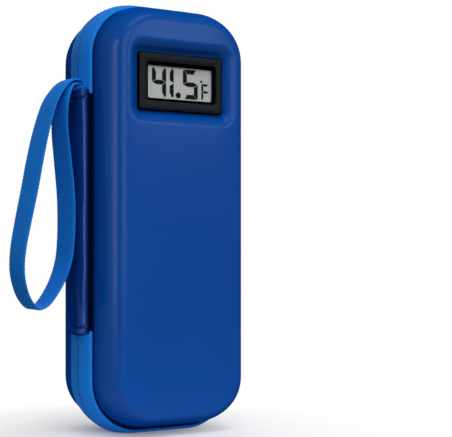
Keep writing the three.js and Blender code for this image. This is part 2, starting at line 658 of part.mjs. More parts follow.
// Elastic pen bands sewn to the back pocket, each raised into a row of loops
function penBand(z) {
  const seat = liningFace(SIDES.back) - PACK_THICK - 2 * CLEAR - POCKET_THICK;
  const half = BAND_LOOPS * BAND_PITCH / 2;
  const rise = BAND_RISE - BAND_THICK;
  const arcSteps = 10;
  const outer = [[-half, seat - BAND_THICK]];
  const inner = [[-half, seat]];
  for (let loop = 0; loop < BAND_LOOPS; loop++) {
    const middle = (loop - (BAND_LOOPS - 1) / 2) * BAND_PITCH;
    for (let step = 0; step <= arcSteps; step++) {
      const angle = Math.PI * (1 - step / arcSteps);
      const lift = Math.sin(angle);
      const halfWidth = BAND_LOOP_WIDTH / 2;
      outer.push([middle + halfWidth * Math.cos(angle), seat - BAND_THICK - rise * lift]);
      inner.push([middle + (halfWidth - BAND_THICK) * Math.cos(angle), seat - rise * lift]);
    }
  }
  outer.push([half, seat - BAND_THICK]);
  inner.push([half, seat]);
  return extrudeAlongZ([...outer, ...inner.toReversed()], z, z + BAND_WIDTH);
}

for (const [name, share] of Object.entries(BAND_SHARES)) {
  addPart(name, penBand(FOOT_Z + share * CASE_HEIGHT), 'elastic');
}

// Spine patch: a bowed strip of coated fabric over the spine, with a thicker folded hem at each end
function spineSection(depth, thick) {
  const edge = TAPE_HALF - CLEAR;
  const steps = 12;
  const outer = [];
  const inner = [];
  for (let step = 0; step <= steps; step++) {
    const y = edge * (2 * step / steps - 1);
    outer.push([-SIDE_X - crown(y) - depth - thick, y]);
    inner.push([-SIDE_X - crown(y) - depth, y]);
  }
  return [...outer, ...inner.toReversed()];
}

const patchBody = extrudeAlongZ(spineSection(CLEAR, PATCH_THICK), PATCH_BOTTOM, PATCH_TOP);
const hemSection = spineSection(CLEAR, PATCH_THICK + PATCH_HEM_EXTRA);
const lowerHem = extrudeAlongZ(hemSection, PATCH_BOTTOM, PATCH_BOTTOM + PATCH_HEM);
const upperHem = extrudeAlongZ(hemSection, PATCH_TOP - PATCH_HEM, PATCH_TOP);
addPart('spine_patch', join(patchBody, lowerHem, upperHem), 'patch');

const liningEdge = TAPE_HALF - CLEAR;
const liningOuterX = -SIDE_X - crown(liningEdge) + CLEAR / 2;
addPart('spine_lining', block(
  liningOuterX, liningOuterX + SPINE_LINING_THICK, -liningEdge, liningEdge,
  PATCH_BOTTOM + CLEAR, PATCH_TOP - CLEAR,
), 'foil');

// Wrist strap: a ribbon along a smooth line through its points, set on its edge across the spine
function ribbon(points, steps) {
  const line = new THREE.CatmullRomCurve3(
    points.map(([out, rise]) => new THREE.Vector3(-CROWN_X - out, 0, PATCH_TOP + rise)), false, 'centripetal',
  );
  const left = [];
  const right = [];
  for (let step = 0; step <= steps; step++) {
    const place = line.getPointAt(step / steps);
    const along = line.getTangentAt(step / steps);
    const half = STRAP_THICK / 2;
    left.push([place.x - along.z * half, place.z + along.x * half]);
    right.push([place.x + along.z * half, place.z - along.x * half]);
  }
  return extrudeAlongY([...left, ...right.toReversed()], STRAP_WIDTH);
}

addPart('wrist_strap', ribbon(STRAP_LOOP, STRAP_STEPS), 'webbing');

const rootFoot = PATCH_TOP + CLEAR;
const sewnEnd = block(
  -CROWN_X - STRAP_ROOT_INNER[0][0], -CROWN_X - STRAP_ROOT_OUTER[0][0], -STRAP_WIDTH / 2, STRAP_WIDTH / 2,
  rootFoot, rootFoot + STRAP_SEWN,
);
const strapRoot = join(
  ribbon(STRAP_ROOT_OUTER, STRAP_ROOT_STEPS), ribbon(STRAP_ROOT_INNER, STRAP_ROOT_STEPS), sewnEnd,
);
addPart('strap_root', strapRoot, 'webbing');

// Zip sliders at the middle of the free side, their mouths together, each with a swinging pull tab
const COIL_INNER_X = CROWN_X - TAPE_THICK - CLEAR - COIL_THICK;
const SLIDER_FACE_X = CROWN_X + CLEAR + SLIDER_PLATE;
const PULL_PIVOT_X = SLIDER_FACE_X + BRIDGE_HEIGHT - BRIDGE_BAR - PULL_THICK * Math.SQRT1_2 - CLEAR / 2;

function slider(centreZ) {
  const outerPlate = block(
    CROWN_X + CLEAR, SLIDER_FACE_X, -SLIDER_WIDTH / 2, SLIDER_WIDTH / 2,
    centreZ - SLIDER_LENGTH / 2, centreZ + SLIDER_LENGTH / 2,
  );
  const innerPlate = block(
    COIL_INNER_X - SLIDER_PLAY - SLIDER_INNER_PLATE, COIL_INNER_X - SLIDER_PLAY,
    -SLIDER_INNER_WIDTH / 2, SLIDER_INNER_WIDTH / 2, centreZ - SLIDER_LENGTH / 2, centreZ + SLIDER_LENGTH / 2,
  );
  const post = block(
    COIL_INNER_X - SLIDER_PLAY - CLEAR, CROWN_X + 2 * CLEAR, -SLIDER_POST / 2, SLIDER_POST / 2,
    centreZ - SLIDER_POST_LENGTH / 2, centreZ + SLIDER_POST_LENGTH / 2,
  );
  const half = BRIDGE_LENGTH / 2;
  const inside = half - BRIDGE_BAR;
  const foot = SLIDER_FACE_X - CLEAR;
  const top = SLIDER_FACE_X + BRIDGE_HEIGHT;
  const under = top - BRIDGE_BAR;
  const bridge = extrudeAlongY([
    [foot, centreZ - half], [under, centreZ - half], [top, centreZ - inside],
    [top, centreZ + inside], [under, centreZ + half], [foot, centreZ + half],
    [foot, centreZ + inside], [under, centreZ + inside],
    [under, centreZ - inside], [foot, centreZ - inside],
  ], BRIDGE_WIDTH);
  return join(outerPlate, innerPlate, post, bridge);
}

// Pull tab, drawn pointing along +Z from its pivot, then turned and set on its slider
function pullTab(centreZ, turn) {
  const half = PULL_WIDTH / 2;
  const end = PULL_THICK / 2;
  const outline = new THREE.Shape();
  outline.moveTo(-half, -end);
  outline.lineTo(half, -end);
  outline.lineTo(half, PULL_LENGTH - half);
  outline.absarc(0, PULL_LENGTH - half, half, 0, Math.PI, false);
  outline.lineTo(-half, -end);
  const gap = half - PULL_ARM;
  outline.holes.push(new THREE.Path([
    new THREE.Vector2(-gap, end), new THREE.Vector2(-gap, end + PULL_WINDOW),
    new THREE.Vector2(gap, end + PULL_WINDOW), new THREE.Vector2(gap, end),
  ]));
  const tab = new THREE.ExtrudeGeometry(outline, {
    depth: PULL_THICK, bevelEnabled: false, curveSegments: 10,
  });
  const axes = [new THREE.Vector3(0, 1, 0), new THREE.Vector3(0, 0, 1), new THREE.Vector3(1, 0, 0)];
  tab.translate(0, 0, -PULL_THICK / 2).applyMatrix4(new THREE.Matrix4().makeBasis(...axes));
  return tab.rotateY(turn).translate(PULL_PIVOT_X, 0, centreZ);
}

const SLIDER_PLACES = { upper: 1, lower: -1 };
for (const [name, direction] of Object.entries(SLIDER_PLACES)) {
  const z = CENTRE_Z + direction * SLIDER_SPACING / 2;
  addPart(`${name}_slider`, slider(z), 'slider');
  addPart(`${name}_pull`, pullTab(z, direction > 0 ? -PULL_LEAN : Math.PI), 'slider');
}

insulinCase.position.y = -FOOT_MIDDLE;

export default insulinCase;
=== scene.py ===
# Insulin cooling case: a zipped hard case for insulin pens, with a panel thermometer and a wrist strap.
# Sizes are millimetres about the zip plane unless a name says otherwise; pieces are set in metres.
import json
import math
import bmesh
import bpy
import numpy as np
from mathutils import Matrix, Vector, noise


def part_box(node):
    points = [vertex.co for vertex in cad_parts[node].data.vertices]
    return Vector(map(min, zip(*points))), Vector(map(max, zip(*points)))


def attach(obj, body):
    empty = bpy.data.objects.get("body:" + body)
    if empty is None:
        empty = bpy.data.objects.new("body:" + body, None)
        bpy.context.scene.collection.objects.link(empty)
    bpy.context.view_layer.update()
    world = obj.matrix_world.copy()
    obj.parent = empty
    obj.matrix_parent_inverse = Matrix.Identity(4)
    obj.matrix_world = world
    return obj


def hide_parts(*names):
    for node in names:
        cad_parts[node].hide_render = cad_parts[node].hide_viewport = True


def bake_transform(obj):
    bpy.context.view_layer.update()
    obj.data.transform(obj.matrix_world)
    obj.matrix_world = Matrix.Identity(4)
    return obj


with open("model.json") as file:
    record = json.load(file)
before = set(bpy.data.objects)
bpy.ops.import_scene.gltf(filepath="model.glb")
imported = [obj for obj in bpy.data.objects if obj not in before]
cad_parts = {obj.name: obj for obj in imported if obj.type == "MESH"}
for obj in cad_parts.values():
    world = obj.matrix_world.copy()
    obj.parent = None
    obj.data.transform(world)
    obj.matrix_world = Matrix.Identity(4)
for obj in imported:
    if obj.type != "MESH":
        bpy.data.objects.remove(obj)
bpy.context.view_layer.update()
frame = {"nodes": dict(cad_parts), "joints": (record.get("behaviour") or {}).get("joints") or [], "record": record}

# Moulded shells
# Each half is one bowl of closed-cell foam with a smooth polyurethane skin, pressed hot in a mould. Its
# rim is sewn to the zip tape. The front face has a dish pressed into it, with a hole for the thermometer.
MM = 0.001
ZIP_Y = (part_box("front_shell")[1].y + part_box("back_shell")[0].y) / 2
BODY_OF = {name: body for body, names in frame["record"]["behaviour"]["bodies"].items() for name in names}


def span(name):
    """The low and the high corner of a node's box, about the zip plane."""
    return [(corner - Vector((0, ZIP_Y, 0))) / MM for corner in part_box(name)]


front_low, front_high = span("front_shell")
back_low, back_high = span("back_shell")
bezel_low, bezel_high = span("display_bezel")
SIDES = {"front": -1, "back": 1}
HALF_DEPTH = {"front": front_high.y - front_low.y, "back": back_high.y - back_low.y}
TAPE_HALF = back_low.y
CENTRE_Z = (front_low.z + front_high.z) / 2
CASE_WIDTH = 79.0
CASE_HEIGHT = 210.5
CORNER = 25.0
CORNER_STEPS = 14
RIM_INSET = 1.0
# The rim's rounded edge: depth from the node's rim, and offset from the seam line
RIM_ROUND = [(1.9, -3.2), (1.9, -1.0), (1.98, -0.5), (2.15, -0.1), (2.42, 0.14), (2.8, 0.26)]
DRAFT = 2.7
WALL_FLARE = 0.1
WALL_STEPS = 9
EDGE_RADIUS = 6.0
EDGE_LEAST = 1.0
EDGE_FROM = math.radians(30)
EDGE_STEPS = 10
FOOT_RISE = 2.2
FOOT_REACH = 34.0
WALL = 3.0
FACE_RINGS = 28
FACE_CROWN = 0.7
FACE_ROLL = 8.0
DISPLAY_Z = (bezel_low.z + bezel_high.z) / 2
BEZEL_WIDTH = bezel_high.x - bezel_low.x
BEZEL_HEIGHT = bezel_high.z - bezel_low.z
BEZEL_CORNER = 1.4
DISH_MARGIN = 6.4
DISH_FLOOR_MARGIN = 0.8
DISH_DEPTH = 4.6
DISH_WALL = 1.8
HOLE_INSET = 0.9
HOLE_CORNER = 1.9
MERGE = 1e-6
SHARP = math.radians(42)
GLOSS_FINER = 3.7
COAT_FADE = (0.25, 0.55)
# Where points lie along a rounded rectangle's ends and sides, closer together beside the thermometer
END_SHARES = np.linspace(0, 1, 13)
SIDE_SHARES = np.r_[np.linspace(0, 0.28, 40), np.linspace(0.28, 1, 24)[1:]]


def dye(red, green, blue):
    """A colour given in display values, as the linear one that a shader takes."""
    share = np.array([red, green, blue]) / 255
    return (*np.where(share > 0.04045, ((share + 0.055) / 1.055) ** 2.4, share / 12.92).tolist(), 1.0)


def node(tree, kind, sockets=None, **settings):
    """Adds a node to a tree. Each socket gets a plain value, or a link where the value is another socket."""
    made = tree.nodes.new(kind)
    for key, value in settings.items():
        setattr(made, key, value)
    for key, value in (sockets or {}).items():
        if isinstance(value, bpy.types.NodeSocket):
            tree.links.new(value, made.inputs[key])
        else:
            made.inputs[key].default_value = value
    return made


def math_node(tree, operation, first, second=0.0):
    return node(tree, "ShaderNodeMath", {0: first, 1: second}, operation=operation).outputs[0]


def ranged(tree, value, low, high, start=0.0, stop=1.0):
    """A value taken from one range over to another, and held at its ends."""
    sockets = {"Value": value, "From Min": start, "From Max": stop, "To Min": low, "To Max": high}
    return node(tree, "ShaderNodeMapRange", sockets).outputs["Result"]


def blended(tree, factor, first, second):
    """One colour between two, each a socket or a colour in display values."""
    ends = [end if isinstance(end, bpy.types.NodeSocket) else dye(*end) for end in (first, second)]
    return node(tree, "ShaderNodeMix", {0: factor, 6: ends[0], 7: ends[1]}, data_type="RGBA").outputs[2]


def effect(name, sizes, results):
    """An empty shader node group that takes a place and some sizes, with its two ends' sockets."""
    tree = bpy.data.node_groups.new(name, "ShaderNodeTree")
    tree.interface.new_socket("Place", in_out="INPUT", socket_type="NodeSocketVector")
    for label in sizes:
        tree.interface.new_socket(label, in_out="INPUT", socket_type="NodeSocketFloat")
    for label in results:
        tree.interface.new_socket(label, in_out="OUTPUT", socket_type="NodeSocketFloat")
    return tree, tree.nodes.new("NodeGroupInput").outputs, tree.nodes.new("NodeGroupOutput").inputs


def moulded_grain():
    """Fine pores for a moulded or coated skin, with slow changes of tone and gloss over it."""
    tree, start, end = effect("moulded_grain", ["Pores", "Patches"], ["Height", "Tone", "Gloss"])

    def cloud(scale, detail):
        sockets = {"Vector": start["Place"], "Scale": scale, "Detail": detail}
        return node(tree, "ShaderNodeTexNoise", sockets).outputs["Fac"]

    cells = node(tree, "ShaderNodeTexVoronoi", {"Vector": start["Place"], "Scale": start["Pores"]})
    pitted = math_node(tree, "ADD", cloud(start["Pores"], 3.0), cells.outputs["Distance"])
    tree.links.new(pitted, end["Height"])
    tree.links.new(cloud(start["Patches"], 2.0), end["Tone"])
    finer = math_node(tree, "MULTIPLY", start["Patches"], GLOSS_FINER)
    tree.links.new(cloud(finer, 4.0), end["Gloss"])
    return tree


GRAIN = moulded_grain()


def finish(name):
    """A new material, with its node tree and its shader's sockets."""
    material = bpy.data.materials.new(name)
    material.use_nodes = True
    return material, material.node_tree, material.node_tree.nodes["Principled BSDF"].inputs


def coated(name, dark, light, pores, patches, relief, gloss, specular=0.3, metallic=0.0, coat=0.0, seam=None):
    """A smooth moulded finish: two tones of one colour, fine pores and uneven gloss. A thin coat over it
    fades at a glancing view. Painted shade turns the colour to the seam colour, and takes the coat away, where the
    third cloth coordinate is set."""
    material, tree, shader = finish(name)
    place = node(tree, "ShaderNodeTexCoord").outputs["Object"]
    sizes = {"Place": place, "Pores": pores, "Patches": patches}
    grain = node(tree, "ShaderNodeGroup", sizes, node_tree=GRAIN).outputs
    flat = node(tree, "ShaderNodeAttribute", attribute_name="cloth").outputs["Vector"]
    # The third cloth coordinate: how much painted shade darkens the colour and takes away the coat
    turned = node(tree, "ShaderNodeSeparateXYZ", {0: flat}).outputs["Z"]
    colour = blended(tree, turned, blended(tree, grain["Tone"], dark, light), seam or dark)
    bump = node(tree, "ShaderNodeBump", {"Height": grain["Height"], "Distance": relief * MM})
    tree.links.new(colour, shader["Base Color"])
    tree.links.new(ranged(tree, grain["Gloss"], *gloss), shader["Roughness"])
    tree.links.new(bump.outputs["Normal"], shader["Normal"])
    if coat:
        view = node(tree, "ShaderNodeLayerWeight", {"Blend": 0.5}).outputs["Facing"]
        weight = ranged(tree, math_node(tree, "MAXIMUM", view, turned), coat, 0.0, *COAT_FADE)
        tree.links.new(weight, shader["Coat Weight"])
    shader["Specular IOR Level"].default_value = specular
    shader["Metallic"].default_value = metallic
    shader["Coat Roughness"].default_value = gloss[0]
    return material


def new_piece(name, points, faces, material, cloth=None):
    """A closed piece from points about the zip plane. Cloth gives each point's place on its flat cloth, and in its
    third value how much painted shade darkens it.
    """
    mesh = bpy.data.meshes.new(name)
    places = np.asarray(points, float) * MM + (0, ZIP_Y, 0)
    mesh.from_pydata(places.tolist(), [], [list(face) for face in faces])
    if cloth is not None:
        flat = mesh.attributes.new("cloth", "FLOAT_VECTOR", "POINT")
        flat.data.foreach_set("vector", np.asarray(cloth, np.float32).ravel())
    work = bmesh.new()
    work.from_mesh(mesh)
    bmesh.ops.remove_doubles(work, verts=work.verts, dist=MERGE)
    bmesh.ops.dissolve_degenerate(work, edges=work.edges, dist=MERGE)
    bmesh.ops.recalc_face_normals(work, faces=work.faces)
    work.to_mesh(mesh)
    work.free()
    mesh.materials.append(material)
    mesh.shade_smooth()
    mesh.set_sharp_from_angle(angle=SHARP)
    piece = bpy.data.objects.new(name, mesh)
    bpy.context.scene.collection.objects.link(piece)
    return piece


def skinned(name, rings, material, cloth=None, wrap="points", caps=False):
    """A piece with faces between its rings. Its points, its rings or both run round in a closed loop, and
    caps fill the two ends that stay open."""
    total, count = len(rings), len(rings[0])
    number = np.arange(total * count).reshape(total, count)
    row = np.arange(total - (wrap == "points"))[:, None]
    column = np.arange(count - (wrap == "rings"))[None, :]
    corners = [(row, column), (row + 1, column), (row + 1, column + 1), (row, column + 1)]
    faces = np.stack([number[a % total, b % count] for a, b in corners], -1).reshape(-1, 4).tolist()
    if caps:
        across = number.T if wrap == "rings" else number
        faces += [across[0].tolist(), across[-1].tolist()]
    return new_piece(name, np.vstack(rings), faces, material, cloth)


def settle(piece):
    """Keeps what a piece's modifiers make of it as its plain mesh."""
    graph = bpy.context.evaluated_depsgraph_get()
    mesh = bpy.data.meshes.new_from_object(piece.evaluated_get(graph))
    piece.modifiers.clear()
    piece.data = mesh
    return mesh


def goes_with(piece, name):
    """The piece moves with a node's body."""
    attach(piece, BODY_OF[name])


def stands_for(piece, name):
    """The piece is the finished form of a node and moves with it."""
    goes_with(piece, name)
    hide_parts(name)


def rounded(half_x, half_z, radius, centre_z=0.0):
    """A rounded rectangle as (x, z) points, anticlockwise from the upper end of its right side."""
    arcs = []
    for quarter, (sign_x, sign_z) in enumerate([(1, 1), (-1, 1), (-1, -1), (1, -1)]):
        angle = (quarter + np.linspace(0, 1, CORNER_STEPS + 1)) * math.pi / 2
        middle = (sign_x * (half_x - radius), sign_z * (half_z - radius) + centre_z)
        arcs.append(np.c_[np.cos(angle), np.sin(angle)] * radius + middle)
    points = []
    shares = [END_SHARES, SIDE_SHARES, END_SHARES, 1 - SIDE_SHARES[::-1]]
    for arc, following, share in zip(arcs, arcs[1:] + arcs[:1], shares):
        points += [arc, arc[-1] + (following[0] - arc[-1]) * share[1:-1, None]]
    return np.vstack(points)


def raised(line):
    """Lifts a shell's lower end clear of the tape that the case stands on."""
    low = np.clip((FOOT_REACH - line[:, 1]) / FOOT_REACH, 0, 1)
    return np.c_[line[:, 0], line[:, 1] + FOOT_RISE * low * low]


def outline(offset):
    return raised(rounded(CASE_WIDTH / 2 + offset, CASE_HEIGHT / 2 + offset, CORNER + offset, CENTRE_Z))


def at_depth(line, y):
    return np.c_[line[:, 0], np.full(len(line), y), line[:, 1]]


def eased(t, start, start_slope, end, end_slope):
    """A smooth way from one value and slope to another, for t from 0 to 1."""
    leaving = (1 + 2 * t) * (1 - t) ** 2 * start + t * (1 - t) ** 2 * start_slope
    return leaving + t * t * (3 - 2 * t) * end + t * t * (t - 1) * end_slope


def wall_profile(depth, inset):
    """Depths and offsets from the rim to the start of the face, on a surface inset from the outside.
    The wall flares at the rim and runs smoothly into the round edge of the face."""
    radius = max(EDGE_RADIUS - inset, EDGE_LEAST)
    bend = depth - inset - radius
    angle = np.linspace(EDGE_FROM, math.pi / 2, EDGE_STEPS)
    drafted = -RIM_INSET - DRAFT * bend / depth - inset
    edge = np.c_[bend + radius * np.sin(angle), drafted - radius * (1 - np.cos(angle))]
    rim = RIM_ROUND if inset == 0 else [(RIM_ROUND[0][0], -RIM_INSET - inset)]
    foot_level, foot_offset = rim[-1]
    run = edge[0, 0] - foot_level
    t = np.linspace(0, 1, WALL_STEPS)[1:-1]
    wall = eased(t, foot_offset, run * WALL_FLARE, edge[0, 1], -run * math.tan(EDGE_FROM))
    return np.vstack([rim, np.c_[foot_level + run * t, wall], edge])


def bowl_rings(side, inset, sink=None):
    """Rings over a half's surface from its rim to the middle of its face, which sink may lower."""
    sign, depth = SIDES[side], HALF_DEPTH[side]
    rings = []
    for level, offset in wall_profile(depth, inset):
        rings.append(at_depth(outline(offset), sign * (TAPE_HALF + level)))
    half_x = CASE_WIDTH / 2 + offset
    half_z = CASE_HEIGHT / 2 + offset
    for share in np.linspace(1, 0, FACE_RINGS + 1)[1:]:
        narrower = half_x * (1 - share)
        line = raised(rounded(half_x * share, half_z - narrower, (CORNER + offset) * share, CENTRE_Z))
        ring = at_depth(line, sign * (TAPE_HALF + depth - inset))
        if sink:
            ring[:, 1] -= sign * sink(line[:, 0], line[:, 1], narrower)
        rings.append(ring)
    return rings


def dish(x, z):
    """How deep the dish round the thermometer is at a place on the face."""
    over_x = np.abs(x) - (BEZEL_WIDTH / 2 - BEZEL_CORNER)
    over_z = np.abs(z - DISPLAY_Z) - (BEZEL_HEIGHT / 2 - BEZEL_CORNER)
    outside = np.hypot(np.maximum(over_x, 0), np.maximum(over_z, 0))
    away = outside + np.minimum(np.maximum(over_x, over_z), 0) - BEZEL_CORNER
    share = np.clip((away - DISH_FLOOR_MARGIN) / (DISH_MARGIN - DISH_FLOOR_MARGIN), 0, 1)
    return DISH_DEPTH * (1 - share) ** 2


def front_face(x, z, inwards):
    """The dish, in a face that rolls up from its edge by a slight crown."""
    deep = dish(x, z)
    return deep - FACE_CROWN * (1 - math.exp(-inwards / FACE_ROLL)) * (1 - deep / DISH_DEPTH)


def front_inside(x, z, inwards):
    return np.maximum(dish(x, z) - WALL + DISH_WALL, 0)


def bored(piece, margin, radius):
    """Cuts a rounded opening through a piece, front to back, at a margin round the thermometer's bezel."""
    line = rounded(BEZEL_WIDTH / 2 + margin, BEZEL_HEIGHT / 2 + margin, radius, DISPLAY_Z)
    ends = [at_depth(line, y) for y in (-TAPE_HALF - 2 * HALF_DEPTH["front"], -TAPE_HALF)]
    cutter = skinned("cutter", ends, piece.data.materials[0], caps=True)
    opening = piece.modifiers.new("opening", "BOOLEAN")
    opening.object = cutter
    settle(piece).set_sharp_from_angle(angle=SHARP)
    bpy.data.objects.remove(cutter)


SHELL_SKIN = coated(
    "shell_skin", (2, 64, 144), (8, 72, 154), pores=1500, patches=22, relief=0.012, gloss=(0.2, 0.28),
    specular=0.0, coat=0.16,
)
for side, (outside, inside) in {"front": (front_face, front_inside), "back": (None, None)}.items():
    rings = bowl_rings(side, 0, outside)[::-1] + bowl_rings(side, WALL, inside)
    shell = skinned(f"{side}_shell_skin", rings, SHELL_SKIN)
    if side == "front":
        bored(shell, -HOLE_INSET, HOLE_CORNER)
    stands_for(shell, f"{side}_shell")

# Foil linings
# Aluminium foil on thin foam and cloth, heat-formed and bonded inside each shell, with a strip of the
# same sewn behind the spine. It creases a little wherever it was pressed in.
CLEAR = 0.3
LINING_THICK = 0.8
LINING_WINDOW = 4.2
CREASE = 0.16
CREASE_SIZE = 7.0
SPINE_ROWS = 70
SPINE_COLUMNS = 14


def ripple(places, size, height):
    """Smooth uneven heights over places, the same each time."""
    heights = [noise.noise(Vector(place) / size) for place in places.reshape(-1, 3)]
    return height * np.reshape(heights, places.shape[:-1])


FOIL = coated(
    "lining_foil", (176, 180, 186), (214, 217, 221), pores=420, patches=60, relief=0.25, gloss=(0.22, 0.42),
    specular=0.5, metallic=0.85,
)
for side in SIDES:
    inset = WALL + CLEAR
    rings = np.array(bowl_rings(side, inset)[::-1] + bowl_rings(side, inset + LINING_THICK))
    rings[..., 1] += ripple(rings, CREASE_SIZE, CREASE)
    lining = skinned(f"{side}_foil_lining", rings, FOIL)
    if side == "front":
        bored(lining, LINING_WINDOW, HOLE_CORNER + LINING_WINDOW)
    stands_for(lining, f"{side}_lining")

low, high = span("spine_lining")
across = np.linspace(low.y, high.y, SPINE_COLUMNS)
loop = [(low.x, y) for y in across] + [(high.x, y) for y in across[::-1]]
rings = np.array([[(x, y, z) for x, y in loop] for z in np.linspace(low.z, high.z, SPINE_ROWS)])
rings[..., 0] += ripple(rings * (0, 1, 1), CREASE_SIZE, CREASE)
stands_for(skinned("spine_foil", rings, FOIL, caps=True), "spine_lining")

# Zip tapes
# Polyester tape woven with a fine twill, turned so that its coil lies inside. Each half is sewn under
# its shell's rim, bows outwards round the case, and is pressed flat where the case stands on it.
TAPE_BULGE = 3.5
TAPE_DIP = 1.8
TAPE_EDGE = TAPE_HALF + 1.7
TAPE_THICK = 1.0
TAPE_COLUMNS = 14
ZIP_LIP = 0.35
LIP_THICK = 0.3
LIP_FOOT = -0.7
LIP_SUNK = 0.1
LIP_FLAT = 0.5
# The lip's round: along from it, and out from the tape's crown there
LIP_ROUND = [(-0.05, -0.5), (0.1, -0.15)]
# The tape's edge under a rim, outside and inside: in from it, and out from the seam line
EDGE_OUTSIDE = [(0.3, 1.66), (0.1, 1.35), (0.03, 0.9), (0.0, 0.3), (0.0, -3.2)]
EDGE_INSIDE = [(0.5, -3.2), (0.7, 0.2)]
PATH_STEP = 3.0
PATCH_LAP = 4.0
PATCH_BOTTOM, PATCH_TOP = (corner.z for corner in span("spine_patch"))
TWILL_ACROSS = 1.5
TWILL_ALONG = 0.9
TWILL_CROSS = 0.6
TWILL_HEIGHT = 0.3
TWILL_TONE = 0.5
FLUFF_SCALE = 0.7
CLOTH_SPECULAR = 0.03
# Painted shade: the colour of cloth down in the grooves under the rims and in the zip's slit
GROOVE_SHADE = (0, 22, 78)


def twill_weave():
    """Yarns crossing on a cloth's own flat coordinates: their height, and how light each stretch is."""
    tree, start, end = effect("twill_weave", ["Across", "Along"], ["Height", "Tone"])
    flat = node(tree, "ShaderNodeSeparateXYZ", {0: start["Place"]}).outputs
    across = math_node(tree, "DIVIDE", flat["X"], start["Across"])
    along = math_node(tree, "DIVIDE", flat["Y"], start["Along"])

    def wave(place, turns):
        return math_node(tree, "SINE", math_node(tree, "MULTIPLY", place, turns * math.tau))

    cross = math_node(tree, "MULTIPLY", wave(across, 2), wave(along, 2))
    diagonal = wave(math_node(tree, "ADD", across, along), 1)
    mixed = math_node(tree, "ADD", diagonal, math_node(tree, "MULTIPLY", cross, TWILL_CROSS))
    height = math_node(tree, "ADD", math_node(tree, "MULTIPLY", mixed, TWILL_HEIGHT), 0.5)
    fluff = node(tree, "ShaderNodeTexNoise", {"Vector": start["Place"], "Scale": FLUFF_SCALE, "Detail": 5.0})
    tone = math_node(tree, "ADD", math_node(tree, "MULTIPLY", height, TWILL_TONE), fluff.outputs["Fac"])
    tree.links.new(height, end["Height"])
    tree.links.new(math_node(tree, "SUBTRACT", tone, TWILL_TONE / 2), end["Tone"])
    return tree


TWILL = twill_weave()


def woven(name, dark, light, across, along, relief, roughness=0.75):
    """A woven finish that follows the cloth's own coordinates. Their third one marks where painted shade darkens
    it.
    """
    material, tree, shader = finish(name)
    flat = node(tree, "ShaderNodeAttribute", attribute_name="cloth").outputs["Vector"]
    sizes = {"Place": flat, "Across": across, "Along": along}
    weave = node(tree, "ShaderNodeGroup", sizes, node_tree=TWILL).outputs
    bump = node(tree, "ShaderNodeBump", {"Height": weave["Height"], "Distance": relief * MM})
    edge = node(tree, "ShaderNodeSeparateXYZ", {0: flat}).outputs["Z"]
    colour = blended(tree, edge, blended(tree, weave["Tone"], dark, light), GROOVE_SHADE)
    tree.links.new(colour, shader["Base Color"])
    tree.links.new(bump.outputs["Normal"], shader["Normal"])
    shader["Roughness"].default_value = roughness
    shader["Specular IOR Level"].default_value = CLOTH_SPECULAR
    return material


def crown(y):
    """How far the tape stands out from the seam line at a distance from the zip's middle."""
    return TAPE_BULGE - TAPE_DIP * (np.asarray(y) / TAPE_EDGE) ** 2


def zip_path(offset):
    """The way round the case from the spine patch's lower end to its upper one, offset from the seam."""
    half_x = CASE_WIDTH / 2 + offset
    low = CENTRE_Z - CASE_HEIGHT / 2 - offset
    high = CENTRE_Z + CASE_HEIGHT / 2 + offset
    radius = CORNER + offset
    long, short = CASE_HEIGHT - 2 * CORNER, CASE_WIDTH - 2 * CORNER
    corner_at = [(-1, low + radius, 2), (1, low + radius, 3), (1, high - radius, 0), (-1, high - radius, 1)]
    stops = [np.array([[-half_x, PATCH_BOTTOM + PATCH_LAP / 2]])]
    for sign, z, quarter in corner_at:
        angle = (quarter + np.linspace(0, 1, 2 * CORNER_STEPS)) * math.pi / 2
        stops.append(np.c_[np.cos(angle), np.sin(angle)] * radius + (sign * (half_x - radius), z))
    stops.append(np.array([[-half_x, PATCH_TOP - PATCH_LAP]]))
    runs = [CORNER, short, long, short, CORNER]
    points = []
    for here, following, run in zip(stops, stops[1:], runs):
        share = np.linspace(0, 1, int(run / PATH_STEP) + 1)[1:-1, None]
        points += [here, here[-1] + (following[0] - here[-1]) * share]
    return np.vstack([*points, stops[-1]])


def steps_along(line):
    """How far along a line each of its points lies."""
    return np.r_[0, np.cumsum(np.linalg.norm(np.diff(line, axis=0), axis=1))]


def band(name, section, path_of, material, closed=False, floors=None, sewn=()):
    """A strip with a closed section of (y, offset) points, run along the path that each offset has.
    Sewn lists the section's points down in a groove or slit, whose colour is painted shade."""
    rings = []
    for index, (y, offset) in enumerate(section):
        ring = at_depth(path_of(offset), y)
        if floors is not None:
            ring[:, 2] = np.maximum(ring[:, 2], floors[index])
        rings.append(ring)
    around = steps_along(np.asarray(section, float))
    along = steps_along(rings[0])
    cloth = [(u, v, float(index in sewn)) for index, u in enumerate(around) for v in along]
    return skinned(name, rings, material, cloth, wrap="both" if closed else "rings", caps=not closed)


TAPE_CLOTH = woven("tape_cloth", (14, 106, 200), (36, 132, 228), TWILL_ACROSS, TWILL_ALONG, relief=0.05)
lip_crown = float(crown(ZIP_LIP))
bowed = np.linspace(ZIP_LIP + LIP_FLAT, TAPE_EDGE - EDGE_INSIDE[-1][0], TAPE_COLUMNS)
outer = [(ZIP_LIP, LIP_FOOT)]
outer += [(ZIP_LIP + along, lip_crown + out) for along, out in LIP_ROUND]
outer += [(y, float(crown(y))) for y in bowed]
outer += [(TAPE_EDGE - inset, out) for inset, out in EDGE_OUTSIDE]
inner = [(TAPE_EDGE - inset, out) for inset, out in EDGE_INSIDE]
inner += [(y, float(crown(y)) - TAPE_THICK) for y in bowed[::-1]]
inner += [(ZIP_LIP + LIP_THICK, lip_crown - TAPE_THICK - LIP_SUNK), (ZIP_LIP + LIP_THICK, LIP_FOOT)]
floors = [0.0] * len(outer) + [TAPE_THICK] * len(inner)
# Painted shade on the tape: its lip in the zip's slit and its edge in the groove under the rim
shaded_in_grooves = [0, 1, *range(len(outer) - 2, len(outer) + 2), len(outer + inner) - 1]
